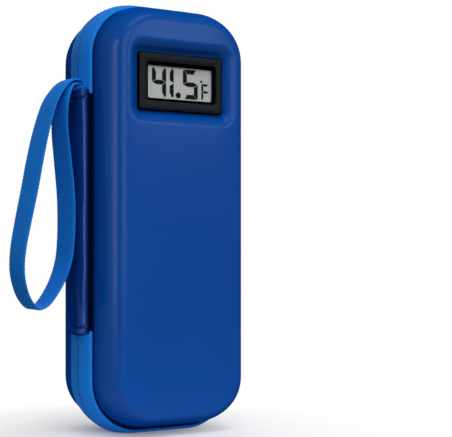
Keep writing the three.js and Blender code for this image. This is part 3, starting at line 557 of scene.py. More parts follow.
for side, sign in SIDES.items():
    section = [(sign * y, offset) for y, offset in outer + inner]
    tape = band(f"{side}_tape_cloth", section, zip_path, TAPE_CLOTH, floors=floors, sewn=shaded_in_grooves)
    stands_for(tape, f"{side}_zip_tape")

# Stitching on the tapes
# Polyester thread: a row of lockstitch holds each coil to its tape, and only the thread's short lengths
# show outside.
STITCH_Y = 2.3
STITCH_PITCH = 2.3
STITCH_LENGTH = 1.7
THREAD = 0.34


def row_tree(name, sizes):
    """A node tree with named sizes, and the evenly spaced spots along the line that it is given."""
    tree = bpy.data.node_groups.new(name, "GeometryNodeTree")
    tree.interface.new_socket("Line", in_out="INPUT", socket_type="NodeSocketGeometry")
    for label in ("Pitch", *sizes):
        tree.interface.new_socket(label, in_out="INPUT", socket_type="NodeSocketFloat")
    tree.interface.new_socket("Finish", in_out="INPUT", socket_type="NodeSocketMaterial")
    tree.interface.new_socket("Row", in_out="OUTPUT", socket_type="NodeSocketGeometry")
    start = tree.nodes.new("NodeGroupInput").outputs
    line = node(tree, "GeometryNodeMeshToCurve", {"Mesh": start["Line"]}).outputs["Curve"]
    spots = node(tree, "GeometryNodeCurveToPoints", {"Curve": line, "Length": start["Pitch"]}, mode="LENGTH")
    return tree, start, spots.outputs


def fill_row(tree, start, spots, thing, rotation, scale=(1, 1, 1)):
    """Sets a thing on each spot, as real geometry with the finish that the tree is given."""
    sockets = {"Points": spots["Points"], "Instance": thing, "Rotation": rotation, "Scale": scale}
    row = node(tree, "GeometryNodeInstanceOnPoints", sockets).outputs["Instances"]
    real = node(tree, "GeometryNodeRealizeInstances", {"Geometry": row}).outputs["Geometry"]
    dressed = node(tree, "GeometryNodeSetMaterial", {"Geometry": real, "Material": start["Finish"]})
    end = tree.nodes.new("NodeGroupOutput").inputs
    tree.links.new(dressed.outputs["Geometry"], end["Row"])


def stitch_rows():
    """Node tree that lays evenly spaced stitches along a seam line."""
    tree, start, spots = row_tree("stitch_rows", ["Length", "Thread"])
    stitch = node(tree, "GeometryNodeMeshUVSphere", {"Segments": 6, "Rings": 4, "Radius": 0.5})
    sides = {"X": start["Thread"], "Y": start["Thread"], "Z": start["Length"]}
    size = node(tree, "ShaderNodeCombineXYZ", sides).outputs["Vector"]
    fill_row(tree, start, spots, stitch.outputs["Mesh"], spots["Rotation"], size)
    return tree


STITCH_ROWS = stitch_rows()


def grown(name, lines, tree, **inputs):
    """Runs a node tree along lines of points about the zip plane, and keeps a plain mesh of the result."""
    mesh = bpy.data.meshes.new(name)
    places = np.vstack(lines) * MM + (0, ZIP_Y, 0)
    edges = []
    start = 0
    for line in lines:
        edges += [(start + k, start + k + 1) for k in range(len(line) - 1)]
        start += len(line)
    mesh.from_pydata(places.tolist(), edges, [])
    piece = bpy.data.objects.new(name, mesh)
    sockets = {item.name: item.identifier for item in tree.interface.items_tree if item.in_out == "INPUT"}
    row = piece.modifiers.new("row", "NODES")
    row.node_group = tree
    for label, value in inputs.items():
        row[sockets[label]] = value
    bpy.context.scene.collection.objects.link(piece)
    settle(piece).shade_smooth()
    return piece


def stitched(name, lines, on, thread_finish, pitch, length, thread):
    """Rows of stitches along lines, on a node."""
    sizes = {"Pitch": pitch * MM, "Length": length * MM, "Thread": thread * MM}
    goes_with(grown(name, lines, STITCH_ROWS, Finish=thread_finish, **sizes), on)


BLUE_THREAD = coated(
    "blue_thread", (6, 52, 122), (14, 70, 146), pores=3000, patches=300, relief=0.05, gloss=(0.5, 0.7),
)
for side, sign in SIDES.items():
    seam = at_depth(zip_path(float(crown(STITCH_Y))), sign * STITCH_Y)
    seam[:, 2] = np.maximum(seam[:, 2], THREAD / 2)
    stitched(
        f"{side}_tape_stitches", [seam], f"{side}_zip_tape", BLUE_THREAD,
        STITCH_PITCH, STITCH_LENGTH, THREAD,
    )

# Zip coils
# One nylon filament wound into flat turns and sewn to each tape's inner side along the opening. On the
# shut zip the turns of the two coils stand between each other.
COIL_PITCH = 1.3
COIL_WIRE = 0.7
COIL_TILT = 0.25
COIL_FAR = 2.4
COIL_MESH = 0.38
COIL_WIDTH = COIL_FAR + COIL_MESH
COIL_THICK = 1.4
COIL_DEPTH = TAPE_THICK + CLEAR + COIL_THICK / 2
COIL_Y = COIL_FAR - COIL_WIDTH / 2


def coil_turns():
    """Node tree that winds a filament's turns along a line, each a flat oval across it."""
    tree, start, spots = row_tree("coil_turns", ["Width", "Height", "Wire"])
    oval = node(tree, "GeometryNodeCurvePrimitiveCircle", {"Resolution": 9, "Radius": 0.5}).outputs["Curve"]
    size = node(tree, "ShaderNodeCombineXYZ", {"X": start["Height"], "Y": start["Width"], "Z": 1.0})
    placing = {"Geometry": oval, "Rotation": (COIL_TILT, 0, 0), "Scale": size.outputs["Vector"]}
    leaning = node(tree, "GeometryNodeTransform", placing).outputs["Geometry"]
    half_wire = math_node(tree, "MULTIPLY", start["Wire"], 0.5)
    wire = node(tree, "GeometryNodeCurvePrimitiveCircle", {"Resolution": 5, "Radius": half_wire})
    turn = node(tree, "GeometryNodeCurveToMesh", {"Curve": leaning, "Profile Curve": wire.outputs["Curve"]})
    facing = node(tree, "FunctionNodeAlignRotationToVector", {"Vector": spots["Tangent"]}, axis="Z")
    held = {"Rotation": facing.outputs["Rotation"], "Vector": (0, 1, 0)}
    level = node(tree, "FunctionNodeAlignRotationToVector", held, axis="Y", pivot_axis="Z")
    fill_row(tree, start, spots, turn.outputs["Mesh"], level.outputs["Rotation"])
    return tree


COIL_TURNS = coil_turns()
COIL_NYLON = coated(
    "coil_nylon", (8, 40, 96), (14, 56, 124), pores=900, patches=120, relief=0.02, gloss=(0.3, 0.42),
)
for side, sign in SIDES.items():
    line = at_depth(zip_path(float(crown(COIL_Y)) - COIL_DEPTH), sign * COIL_Y)
    line[:, 2] = np.maximum(line[:, 2], COIL_DEPTH)
    if side == "back":
        step = COIL_PITCH / 2 + 2 * COIL_Y * math.tan(COIL_TILT)
        for end, way in ((0, line[1] - line[0]), (-1, line[-1] - line[-2])):
            line[end] += way / np.linalg.norm(way) * step
    coil = grown(
        f"{side}_coil_turns", [line], COIL_TURNS, Pitch=COIL_PITCH * MM, Width=(COIL_WIDTH - COIL_WIRE) * MM,
        Height=(COIL_THICK - COIL_WIRE) * MM, Wire=COIL_WIRE * MM, Finish=COIL_NYLON,
    )
    stands_for(coil, f"{side}_zip_coil")

# Rim bindings
# Black grosgrain ribbon folded over the lining's edge and sewn round the inside of each rim. Along the
# spine a narrow navy ribbon is sewn in with it, and closes the slit beside the fold.
BINDING_WIDTH = 4.0
BINDING_THICK = 1.0
BINDING_SOFT = 0.3
BINDING_SEAM = 2.0
HINGE_X = next(joint["pos_m"][0] for joint in frame["joints"] if joint["name"] == "spine_fold") / MM
HINGE_Y = TAPE_HALF - 0.05
HINGE_AWAY = 1.08
HINGE_RISE = 0.55
HINGE_THICK = 1.6
HINGE_SHORT = 1.0
HINGE_ROWS = 60
# Where the hinge ribbon's four edges lie on its flat cloth
HINGE_FLAT = (0, 7, 7.5, 14)


def binding_offset(side):
    """The offset from the seam line of the folded ribbon's back, which lies against the lining."""
    drafted = RIM_INSET + DRAFT * (CLEAR + BINDING_WIDTH) / HALF_DEPTH[side]
    return -drafted - WALL - 2 * CLEAR - LINING_THICK


BINDING_CLOTH = woven("binding_ribbon", (14, 16, 20), (38, 41, 46), across=0.9, along=0.7, relief=0.08)
HINGE_CLOTH = woven("hinge_ribbon", (0, 8, 42), (2, 16, 62), across=0.9, along=0.7, relief=0.08)
BLACK_THREAD = coated(
    "black_thread", (16, 17, 20), (34, 36, 40), pores=3000, patches=300, relief=0.05, gloss=(0.5, 0.7),
)
for side, sign in SIDES.items():
    near = TAPE_HALF + CLEAR
    far = near + BINDING_WIDTH
    behind = binding_offset(side)
    face = behind - BINDING_THICK
    soft = BINDING_SOFT
    section = [
        (near, behind - soft), (near + soft, behind), (far - soft, behind), (far, behind - soft),
        (far, face + soft), (far - soft, face), (far - BINDING_SEAM, face - soft / 2), (near + soft, face),
        (near, face + soft),
    ]
    section = [(sign * y, offset) for y, offset in section]
    binding = band(f"{side}_binding_ribbon", section, outline, BINDING_CLOTH, closed=True)
    stands_for(binding, f"{side}_rim_binding")
    seam = at_depth(outline(face - soft / 2), sign * (far - BINDING_SEAM))
    stitched(
        f"{side}_binding_stitches", [np.vstack([seam, seam[:1]])], f"{side}_rim_binding",
        BLACK_THREAD, pitch=3.0, length=2.2, thread=0.4,
    )

levels = np.linspace(PATCH_BOTTOM + HINGE_SHORT, PATCH_TOP - HINGE_SHORT, HINGE_ROWS)
loop = [(HINGE_X + HINGE_AWAY, HINGE_Y), (-CASE_WIDTH / 2 - binding_offset("back"), HINGE_Y + HINGE_RISE)]
loop += [(x, y + HINGE_THICK) for x, y in loop[::-1]]
cloth = [(u, z, 0) for u in HINGE_FLAT for z in levels]
for side, sign in SIDES.items():
    rings = [[(x, sign * y, z) for z in levels] for x, y in loop]
    hinge = skinned(f"{side}_hinge_ribbon", rings, HINGE_CLOTH, cloth, wrap="rings", caps=True)
    goes_with(hinge, f"{side}_rim_binding")

# Spine patch
# Coated imitation leather over a thin foam strip on the spine, folded to a hem at each end and sewn down
# across the hems. Its long edges turn down between the shells, and it puckers a little at its seams.
PATCH_EDGE = TAPE_EDGE - 0.7
PATCH_HIGH = 5.2
PATCH_SIDE = 2.0
PATCH_SQUARE = 4
PATCH_COLUMNS = 44
# Counts of rows at the lower end, between and at the upper end, and how far each end's rows reach
PATCH_ROWS = (40, 60, 48)
PATCH_ENDS = (9, 11)
# Share of the half width from which painted shade darkens the patch's long edges
EDGE_SHADE_FROM = 0.84
TUCK_COLUMNS = 2
TUCK_OFFSET = -2.8
TUCK_SHARE = 0.99
HEM_RISE = 0.7
HEM_HIGH = 5.9
HEM_LOW = 3.8
HEM_STEEP = 5.0
HEM_ROUND = 0.55
HEM_ROUND_FROM = 0.45
SEAM_DEEP = 1.1
SEAM_SPREAD = 0.6
SEAM_SAG = 1.3
SEAM_SHORT = 7
END_SOFT = 1.2
PUCKER = 0.4
PUCKER_SIZE = 15.0
PUCKER_START = 2.5
SEAMS = (PATCH_BOTTOM + HEM_LOW, PATCH_TOP - HEM_HIGH)
stops = [PATCH_BOTTOM, PATCH_BOTTOM + PATCH_ENDS[0], PATCH_TOP - PATCH_ENDS[1], PATCH_TOP]
patch_rows = np.r_[
    np.linspace(*stops[:2], PATCH_ROWS[0]), np.linspace(*stops[1:3], PATCH_ROWS[1])[1:-1],
    np.linspace(*stops[2:], PATCH_ROWS[2]),
]


def hem_step(past):
    """Rises from none to all of a hem's extra height at its seam, by how far a row is past it."""
    return (1 + math.tanh(HEM_STEEP * past / 2)) / 2


def patch_place(y, row):
    """The patch's outer offset and height, by the distance from the spine's middle, on one row of it."""
    share = np.abs(y) / PATCH_EDGE
    pad = 1 - share ** PATCH_SQUARE
    hem = hem_step(SEAMS[0] - row) + hem_step(row - SEAMS[1])
    sewn = sum(math.exp(-((row - seam) / SEAM_SPREAD) ** 2) for seam in SEAMS)
    soft = math.sqrt(min(max(min(row - PATCH_BOTTOM, PATCH_TOP - row) / END_SOFT, 0), 1))
    fold = PUCKER * noise.noise(Vector((row / PUCKER_SIZE, PUCKER_START, 0)))
    high = PATCH_HIGH - crown(y) + HEM_RISE * hem - SEAM_DEEP * sewn + fold
    offset = crown(y) * pad + PATCH_SIDE * (1 - pad) + high * pad * soft
    round_off = HEM_ROUND * np.clip((share - HEM_ROUND_FROM) / (1 - HEM_ROUND_FROM), 0, 1) ** 2
    z = row - max(row - SEAMS[1], 0) * round_off + SEAM_SAG * (share ** 2 - 0.5)
    return offset, z


# The seam colour is painted shade, on the long edges where they turn down between the shells
PATCH_SKIN = coated(
    "patch_skin", (0, 50, 126), (4, 60, 142), pores=900, patches=30, relief=0.04, gloss=(0.2, 0.3),
    specular=0.0, coat=0.4, seam=(0, 6, 30),
)
rise = np.sin(np.linspace(-math.pi / 2, math.pi / 2, PATCH_COLUMNS)) * PATCH_EDGE
rings = []
for row in patch_rows:
    offset, z = patch_place(rise, row)
    outside = np.c_[-CASE_WIDTH / 2 - offset, rise, z]
    inside = np.c_[np.full(PATCH_COLUMNS, -CASE_WIDTH / 2 - TUCK_OFFSET), rise * TUCK_SHARE, z]
    between = slice(TUCK_COLUMNS, -TUCK_COLUMNS)
    inside[between, 0] = -CASE_WIDTH / 2 - crown(rise[between]) - CLEAR / 2
    rings.append(np.vstack([outside, inside[::-1]]))
# Painted shade: darker towards the long edges, and dark where they tuck in between the shells
patch_edge_shade = np.zeros((2 * PATCH_COLUMNS, 3))
patch_edge_shade[:PATCH_COLUMNS, 2] = np.clip((np.abs(rise) / PATCH_EDGE - EDGE_SHADE_FROM) / (1 - EDGE_SHADE_FROM), 0, 1)
patch_edge_shade[PATCH_COLUMNS:PATCH_COLUMNS + TUCK_COLUMNS, 2] = 1
patch_edge_shade[-TUCK_COLUMNS:, 2] = 1
patch = skinned("spine_patch_skin", rings, PATCH_SKIN, np.tile(patch_edge_shade, (len(rings), 1)), caps=True)
stands_for(patch, "spine_patch")
seam_lines = []
for seam in SEAMS:
    seam_y = rise[SEAM_SHORT:-SEAM_SHORT]
    offset, z = patch_place(seam_y, seam)
    seam_lines.append(np.c_[-CASE_WIDTH / 2 - offset, seam_y, z])
stitched(
    "patch_stitches", seam_lines, "spine_patch", BLUE_THREAD, pitch=2.6, length=2.0, thread=0.4,
)

# Cold packs
# Two gel packs in a welded blue film: a crowned capsule with a narrow flat weld all round, firm and a
# little uneven where the gel has settled. One lies against the lining of each half.
WELD = 1.5
WELD_HALF = 0.35
PACK_EDGE = 8.0
PACK_EDGE_FROM = 0.12
PACK_EDGE_STEPS = 9
PACK_SHOULDER = 0.84
PACK_RINGS = 14
PACK_SETTLE = 0.3
PACK_SETTLE_SIZE = 24.0
PACK_FILM = coated(
    "pack_film", (0, 74, 190), (4, 98, 212), pores=500, patches=26, relief=0.03, gloss=(0.28, 0.4),
    specular=0.4,
)
for side in SIDES:
    low, high = span(f"{side}_cold_pack")
    half = (high - low) / 2
    middle = (high + low) / 2
    profile = [(0.0, WELD_HALF), (WELD, WELD_HALF)]
    for angle in np.linspace(PACK_EDGE_FROM, math.pi / 2, PACK_EDGE_STEPS):
        level = half.y * PACK_SHOULDER * math.sin(angle)
        profile.append((WELD + PACK_EDGE * (1 - math.cos(angle)), level))
    for share in np.linspace(0, 1, PACK_RINGS)[1:]:
        inset = WELD + PACK_EDGE + (half.x - WELD - PACK_EDGE) * share
        level = half.y * (PACK_SHOULDER + (1 - PACK_SHOULDER) * math.sin(share * math.pi / 2))
        profile.append((inset, level))
    rings = []
    for inset, level in [(inset, -level) for inset, level in profile[::-1]] + profile:
        line = rounded(half.x - inset, half.z - inset, half.x - inset, middle.z)
        rings.append(at_depth(line, middle.y + level))
    rings = np.array(rings)
    lift = rings[..., 1] - middle.y
    rings[..., 1] -= lift / half.y * np.abs(ripple(rings, PACK_SETTLE_SIZE, PACK_SETTLE))
    pack = skinned(f"{side}_gel_pack", rings, PACK_FILM)
    stands_for(pack, f"{side}_cold_pack")

# Pack pockets
# A net panel over each pack, bound into a gusset of black cloth that is sewn to the lining. The pocket is
# open at its top.
NET_CELL = 1.7
NET_WIRE = 0.5
NET_LAP = 1.0
GUSSET_THICK = 0.8
GUSSET_ROUND = 4.0
GUSSET_STEPS = 7
GUSSET_LAP = 7.0
POCKET_FOOT_STEPS = 40
POCKET_SIDE_STEPS = 24
GUSSET_CLOTH = woven("pocket_cloth", (20, 22, 26), (46, 49, 55), across=1.2, along=1.2, relief=0.06)
NET_YARN = coated(
    "net_yarn", (18, 20, 24), (44, 47, 52), pores=2500, patches=200, relief=0.05, gloss=(0.55, 0.75),
)


def gusset_side(near, far, sunk):
    """Half of a gusset's section, sunk into the cloth: up from the lining, round, and over the net."""
    turn = np.linspace(0, math.pi / 2, GUSSET_STEPS)
    radius = GUSSET_ROUND - sunk
    bend = np.c_[near + sunk + radius * (1 - np.sin(turn)), sunk + radius * (1 - np.cos(turn))]
    return [(far, sunk), *bend.tolist(), (near + sunk, GUSSET_LAP)]


def pocket_path(low, high):
    """A pocket's path at each inset: down one side of it, round its foot and up the other side."""

    def path_of(inset):
        radius = high.x - inset
        angle = np.linspace(math.pi, 2 * math.pi, POCKET_FOOT_STEPS)
        foot = np.c_[np.cos(angle), np.sin(angle)] * radius + (0, low.z + high.x)
        rising = np.linspace(low.z + high.x, high.z, POCKET_SIDE_STEPS)[1:]
        right = np.c_[np.full(len(rising), radius), rising]
        return np.vstack([right[::-1] * (-1, 1), foot, right])

    return path_of


for side, sign in SIDES.items():
    low, high = span(f"{side}_pocket")
    near, far = sorted((abs(low.y), abs(high.y)))
    section = gusset_side(near, far, 0.0) + gusset_side(near, far, GUSSET_THICK)[::-1]
    section = [(sign * y, inset) for y, inset in section]
    gusset = band(f"{side}_pocket_gusset", section, pocket_path(low, high), GUSSET_CLOTH)
    stands_for(gusset, f"{side}_pocket")

    reach_x = high.x - GUSSET_LAP + NET_LAP
    columns = int(reach_x / NET_CELL)
    net_y = sign * (near + GUSSET_THICK / 2)
    points = []
    for row in range(1, int((high.z - low.z) / NET_CELL)):
        for column in range(1 - columns, columns):
            x = column * NET_CELL
            z = low.z + row * NET_CELL
            held = math.hypot(x, max(low.z + high.x - z, 0)) < reach_x
            if (row + column) % 2 and held:
                points += [(x, net_y, z - NET_CELL), (x + NET_CELL, net_y, z)]
                points += [(x, net_y, z + NET_CELL), (x - NET_CELL, net_y, z)]
    net = new_piece(f"{side}_pocket_net", points, np.arange(len(points)).reshape(-1, 4), NET_YARN)
    yarns = net.modifiers.new("yarns", "WIREFRAME")
    yarns.thickness = NET_WIRE * MM
    yarns.use_even_offset = False
    goes_with(net, f"{side}_pocket")

# Elastic hems and pen bands
# Ribbed elastic: a hem that draws each pocket's mouth in, and two bands on the back pocket, each sewn
# down between three raised loops that hold a pen each.
RIB_PITCH = 1.3
RIB_RISE = 0.16
RIB_SAMPLES = 4
RIBS_LEAST = 3
RIB_EDGE_LEAST = 0.05
HEM_THICK = 1.2
HEM_GATHER = 0.12
HEM_STEPS = 9
HEM_MOUTH_STEPS = 24
GATHER_TURN = 1.9
GATHER_FOOT = 0.4
BAND_LOOPS = 3
BAND_LOOP_STEPS = 33
BAND_PITCH = 16.6
BAND_LOOP_WIDTH = 15.4
BAND_THICK = 1.1
BAND_FULL = 0.9
TACKS = 8
TACK_INSET = 1.0
ELASTIC = woven(
    "ribbed_elastic", (14, 15, 18), (36, 38, 43), across=RIB_PITCH, along=0.8, relief=0.06, roughness=0.8,
)


def beside(line):
    """The direction to one side of a flat line, at each of its points."""
    along = np.gradient(line, axis=0)
    along /= np.linalg.norm(along, axis=1)[:, None]
    return np.c_[along[:, 1], -along[:, 0]]


def elastic(name, line, low_z, high_z, thick, gather=0.0):
    """A ribbed band of cloth along a line in the (x, y) plane, standing from one height to the other."""
    tall = high_z - low_z
    ribs = max(int(tall / RIB_PITCH), RIBS_LEAST)
    share = np.linspace(0, 1, ribs * RIB_SAMPLES + 1)
    rib = thick / 2 - RIB_RISE + RIB_RISE * np.abs(np.sin(math.pi * ribs * share))
    edge = np.sqrt(np.clip(np.minimum(share, 1 - share) * tall / (thick / 2), RIB_EDGE_LEAST, 1))
    loop = [(low_z + s * tall, h * e) for s, h, e in zip(share, rib, edge)]
    loop += [(z, -lift) for z, lift in loop[::-1]]
    distance = steps_along(line)
    rings = []
    for z, lift in loop:
        spread = GATHER_FOOT + (1 - GATHER_FOOT) * (z - low_z) / tall
        waved = lift + gather * np.sin(distance * GATHER_TURN) * spread
        rings.append(np.c_[line + beside(line) * waved[:, None], np.full(len(line), z)])
    cloth = [(z, v, 0) for z, lift in loop for v in distance]
    return skinned(name, rings, ELASTIC, cloth, wrap="rings", caps=True)


for side, sign in SIDES.items():
    low, high = span(f"{side}_pocket_hem")
    near, far = sorted((abs(low.y), abs(high.y)))
    near += HEM_THICK / 2
    half_x = high.x - HEM_THICK / 2
    turn = np.linspace(0, math.pi / 2, HEM_STEPS)
    bend = np.c_[half_x - GUSSET_ROUND * (1 - np.cos(turn)), near + GUSSET_ROUND * (1 - np.sin(turn))]
    rising = np.linspace(far, near + GUSSET_ROUND, HEM_STEPS)[:-1]
    wall = np.c_[np.full(len(rising), half_x), rising]
    mouth = np.linspace(half_x - GUSSET_ROUND, 0, HEM_MOUTH_STEPS)[1:]
    right = np.vstack([wall, bend, np.c_[mouth, np.full(len(mouth), near)]])
    line = np.vstack([right, (right * (-1, 1))[::-1][1:]]) * (1, sign)
    hem = elastic(f"{side}_hem_elastic", line, low.z, high.z, HEM_THICK, HEM_GATHER)
    stands_for(hem, f"{side}_pocket_hem")

for level in ("lower", "upper"):
    low, high = span(f"{level}_pen_band")
    seat = high.y - BAND_THICK / 2
    rise = high.y - low.y - BAND_THICK
    reach = (BAND_LOOP_WIDTH - BAND_THICK) / 2
    line = [(low.x, seat)]
    for loop_number in range(BAND_LOOPS):
        middle = (loop_number - (BAND_LOOPS - 1) / 2) * BAND_PITCH
        for angle in np.linspace(math.pi, 0, BAND_LOOP_STEPS):
            line.append((middle + reach * math.cos(angle), seat - rise * math.sin(angle) ** BAND_FULL))
    line.append((high.x, seat))
    pen_band = elastic(f"{level}_band_elastic", np.array(line), low.z, high.z, BAND_THICK)
    stands_for(pen_band, f"{level}_pen_band")
    tack_y = np.full(TACKS, seat - BAND_THICK / 2)
    tack_z = np.linspace(low.z + TACK_INSET, high.z - TACK_INSET, TACKS)
    tack_x = (np.arange(BAND_LOOPS + 1) - BAND_LOOPS / 2) * BAND_PITCH
    stitched(
        f"{level}_band_tacks", [np.c_[np.full(TACKS, x), tack_y, tack_z] for x in tack_x],
        f"{level}_pen_band", BLACK_THREAD, pitch=1.1, length=0.9, thread=0.5,
    )

# Thermometer's electronics
# A glass-fibre board with printed copper, a pink conducting rubber strip up to the LCD, two button
# cells between sprung steel contacts, a sensor bead and a push switch.
TRACK_SCALE = 420.0
TRACK_WIDE = 0.06
CELL_STEPS = 64
# Each cell's turned profile: in from its radius, and back from its front face or forward from its back
CELL_FRONT = [(1.5, 0), (1.2, 0.25), (0.9, 0.35), (0.7, 0.3), (0.35, 0.35), (0, 0.75)]
CELL_BACK = [(0, 0.5), (0.15, 0.15), (0.5, 0)]


def board_finish():
    """Green solder mask, with copper tracks under it that show paler."""
    material = coated(
        "solder_mask", (12, 74, 40), (22, 98, 54), pores=900, patches=120, relief=0.02, gloss=(0.3, 0.42),
    )
    tree = material.node_tree
    colour = tree.nodes["Principled BSDF"].inputs["Base Color"]
    plain = colour.links[0].from_socket
    place = node(tree, "ShaderNodeTexCoord").outputs["Object"]
    turned = node(tree, "ShaderNodeMapping", {"Vector": place, "Rotation": (math.pi / 2, 0, 0)})
    sizes = {"Vector": turned.outputs["Vector"], "Scale": TRACK_SCALE, "Mortar Size": TRACK_WIDE}
    tracks = node(tree, "ShaderNodeTexBrick", sizes).outputs["Fac"]
    tree.links.new(blended(tree, tracks, plain, (120, 150, 70)), colour)
    return material


def painted(material, *names):
    """Gives a finish to nodes whose own shape stays."""
    for name in names:
        frame["nodes"][name].material_slots[0].material = material


RUBBER = coated(
    "zebra_rubber", (176, 92, 112), (196, 112, 130), pores=700, patches=200, relief=0.03, gloss=(0.6, 0.8),
)
STEEL = coated(
    "bright_steel", (176, 178, 182), (206, 208, 210), pores=1800, patches=260, relief=0.015,
    gloss=(0.2, 0.36), specular=0.5, metallic=1.0,
)
EPOXY = coated(
    "sensor_epoxy", (14, 14, 16), (30, 30, 34), pores=1500, patches=300, relief=0.03, gloss=(0.18, 0.3),
)
painted(board_finish(), "circuit_board")
painted(RUBBER, "zebra_strip")
painted(STEEL, "battery_contact_plus", "battery_contact_minus", "battery_link")
painted(EPOXY, "thermistor", "unit_switch")
for pole in ("plus", "minus"):
    low, high = span(f"battery_cell_{pole}")
    radius = (high.z - low.z) / 2
    profile = [(radius - inset, low.y + depth) for inset, depth in CELL_FRONT]
    profile += [(radius - inset, high.y - depth) for inset, depth in CELL_BACK]
    angle = np.linspace(0, math.tau, CELL_STEPS, endpoint=False)
    circle = np.c_[np.cos(angle), np.sin(angle)]
    middle = ((low.x + high.x) / 2, DISPLAY_Z)
    rings = [at_depth(circle * reach + middle, y) for reach, y in [(0, low.y), *profile, (0, high.y)]]
    stands_for(skinned(f"button_cell_{pole}", rings, STEEL), f"battery_cell_{pole}")

# LCD and its digits
# A glass cell with a grey reflector behind it, under a clear plastic window. The driven segments turn
# black and read 41.5 degrees; they lie on the cell's front face.
SEGMENT = 2.25
SEGMENT_GAP = 0.16
BLUNT = 0.4
DIGIT_WIDE = 8.0
DIGIT_HIGH = 14.7
DIGIT_LIFT = 0.1
DIGIT_FOOT = DISPLAY_Z - DIGIT_HIGH / 2 + DIGIT_LIFT
# Each figure's place from the window's left side, width, height, stroke and lit segments
FIGURES = [
    (3.0, DIGIT_WIDE, DIGIT_HIGH, SEGMENT, "fgbc"), (7.3, DIGIT_WIDE, DIGIT_HIGH, SEGMENT, "bc"),
    (20.6, DIGIT_WIDE + 0.6, DIGIT_HIGH, SEGMENT, "afgcd"), (31.3, 4.6, 8.2, 1.15, "afge"),
]
# Each dot's place from the window's left side and the digits' foot, and its radius
DOTS = [(17.9, 1.5, 1.5), (31.3, 9.3, 0.65)]
DOT_STEPS = 28
INK_BACK = 0.04
INK_FRONT = 0.12
WINDOW_WIDTH = 36.6
LENS_ALPHA = 0.04


def digit(wide, high, stroke, lit):
    """The lit segments of a seven-segment digit, named a to g from its top round to its middle bar."""
    gap = SEGMENT_GAP
    half = high / 2
    tip = BLUNT * stroke
    corner = [(tip + gap, high), (stroke + gap, high - stroke)]
    corner += [(wide - x, z) for x, z in corner[::-1]]
    upright = [(0, half + gap), (stroke, half + stroke / 2 + gap), (stroke, high - stroke - gap)]
    upright += [(tip, high), (0, high - tip)]
    middle = [(gap, half), (stroke + gap, half + stroke / 2), (wide - stroke - gap, half + stroke / 2)]
    middle += [(wide - x, high - z) for x, z in middle]
    bars = {"a": corner, "f": upright, "g": middle, "b": [(wide - x, z) for x, z in upright]}
    for name, above in (("c", "b"), ("d", "a"), ("e", "f")):
        bars[name] = [(x, high - z) for x, z in bars[above]]
    return [np.array(bars[name]) for name in lit]


def prism(outlines, low, high, axes):
    """Straight-sided solids. Axes name where an outline's two directions and then its sides run."""
    order = np.argsort(["xyz".index(axis) for axis in axes])
    points = []
    faces = []
    for line in outlines:
        count = len(line)
        ring = np.arange(count) + len(points)
        for level in (low, high):
            points += np.c_[line, np.full(count, level)][:, order].tolist()
        after = np.roll(ring, -1)
        faces += [ring, ring + count, *np.c_[ring, after, after + count, ring + count]]
    return points, faces


shown = []
for place, wide, high, stroke, lit in FIGURES:
    shown += [bar + (place - WINDOW_WIDTH / 2, DIGIT_FOOT) for bar in digit(wide, high, stroke, lit)]
angle = np.linspace(0, math.tau, DOT_STEPS, endpoint=False)
for place, height, radius in DOTS:
    middle = (place - WINDOW_WIDTH / 2, DIGIT_FOOT + height)
    shown.append(np.c_[np.cos(angle), np.sin(angle)] * radius + middle)
LCD_INK = coated(
    "lcd_ink", (4, 5, 6), (12, 13, 15), pores=900, patches=200, relief=0.005, gloss=(0.6, 0.7), specular=0.02,
)
LCD_GLASS = coated(
    "lcd_reflector", (184, 187, 185), (194, 196, 193), pores=3500, patches=70, relief=0.004,
    gloss=(0.4, 0.5), specular=0.1,
)
LENS = coated(
    "clear_lens", (60, 66, 68), (74, 80, 82), pores=600, patches=60, relief=0.002, gloss=(0.2, 0.3),
    specular=0.06,
)
LENS.node_tree.nodes["Principled BSDF"].inputs["Alpha"].default_value = LENS_ALPHA
lcd_face = span("lcd_panel")[0].y
points, faces = prism(shown, lcd_face - INK_FRONT, lcd_face - INK_BACK, "xzy")
digits = new_piece("lcd_digits", points, faces, LCD_INK)
goes_with(digits, "lcd_panel")
painted(LCD_GLASS, "lcd_panel")
painted(LENS, "display_lens")

# Thermometer's case
# Injection-moulded black plastic: a bezel with rounded outer edges, a flat frame and a stepped recess
# down to the window, and behind it a housing with a sliding battery door and a unit button.
WINDOW_HEIGHT = 16.2
FLANGE = 2.2
BODY_INSET = 1.3
BODY_WALL = 1.3
BEZEL_DEEP = bezel_high.y - bezel_low.y
FRAME_WIDE = 4.0
# Depth past which the bezel's rows get painted shade in its recess
RECESS_SHADE_FROM = 0.4
# In from the bezel's side, back from its face, and the corner's radius there
BEZEL_PROFILE = [
    (0.0, FLANGE, 1.4), (0.0, 0.9, 1.4), (0.1, 0.5, 1.3), (0.35, 0.18, 1.2), (0.75, 0.03, 1.0),
    (1.0, 0.0, 0.9), (4.05, 0.04, 1.9), (4.28, 0.1, 1.9), (4.4, 0.3, 1.8), (4.46, 1.1, 1.7),
    (4.56, 1.26, 1.6), (4.9, 1.34, 1.5), (5.5, 1.42, 1.1), (5.68, 1.56, 1.0), (5.72, 1.8, 1.0),
    (5.0, 1.8, 1.2), (BODY_INSET + BODY_WALL, 1.8, 1.5), (BODY_INSET + BODY_WALL, BEZEL_DEEP, 1.5),
    (BODY_INSET, BEZEL_DEEP, 1.5), (BODY_INSET, FLANGE, 1.5),
]
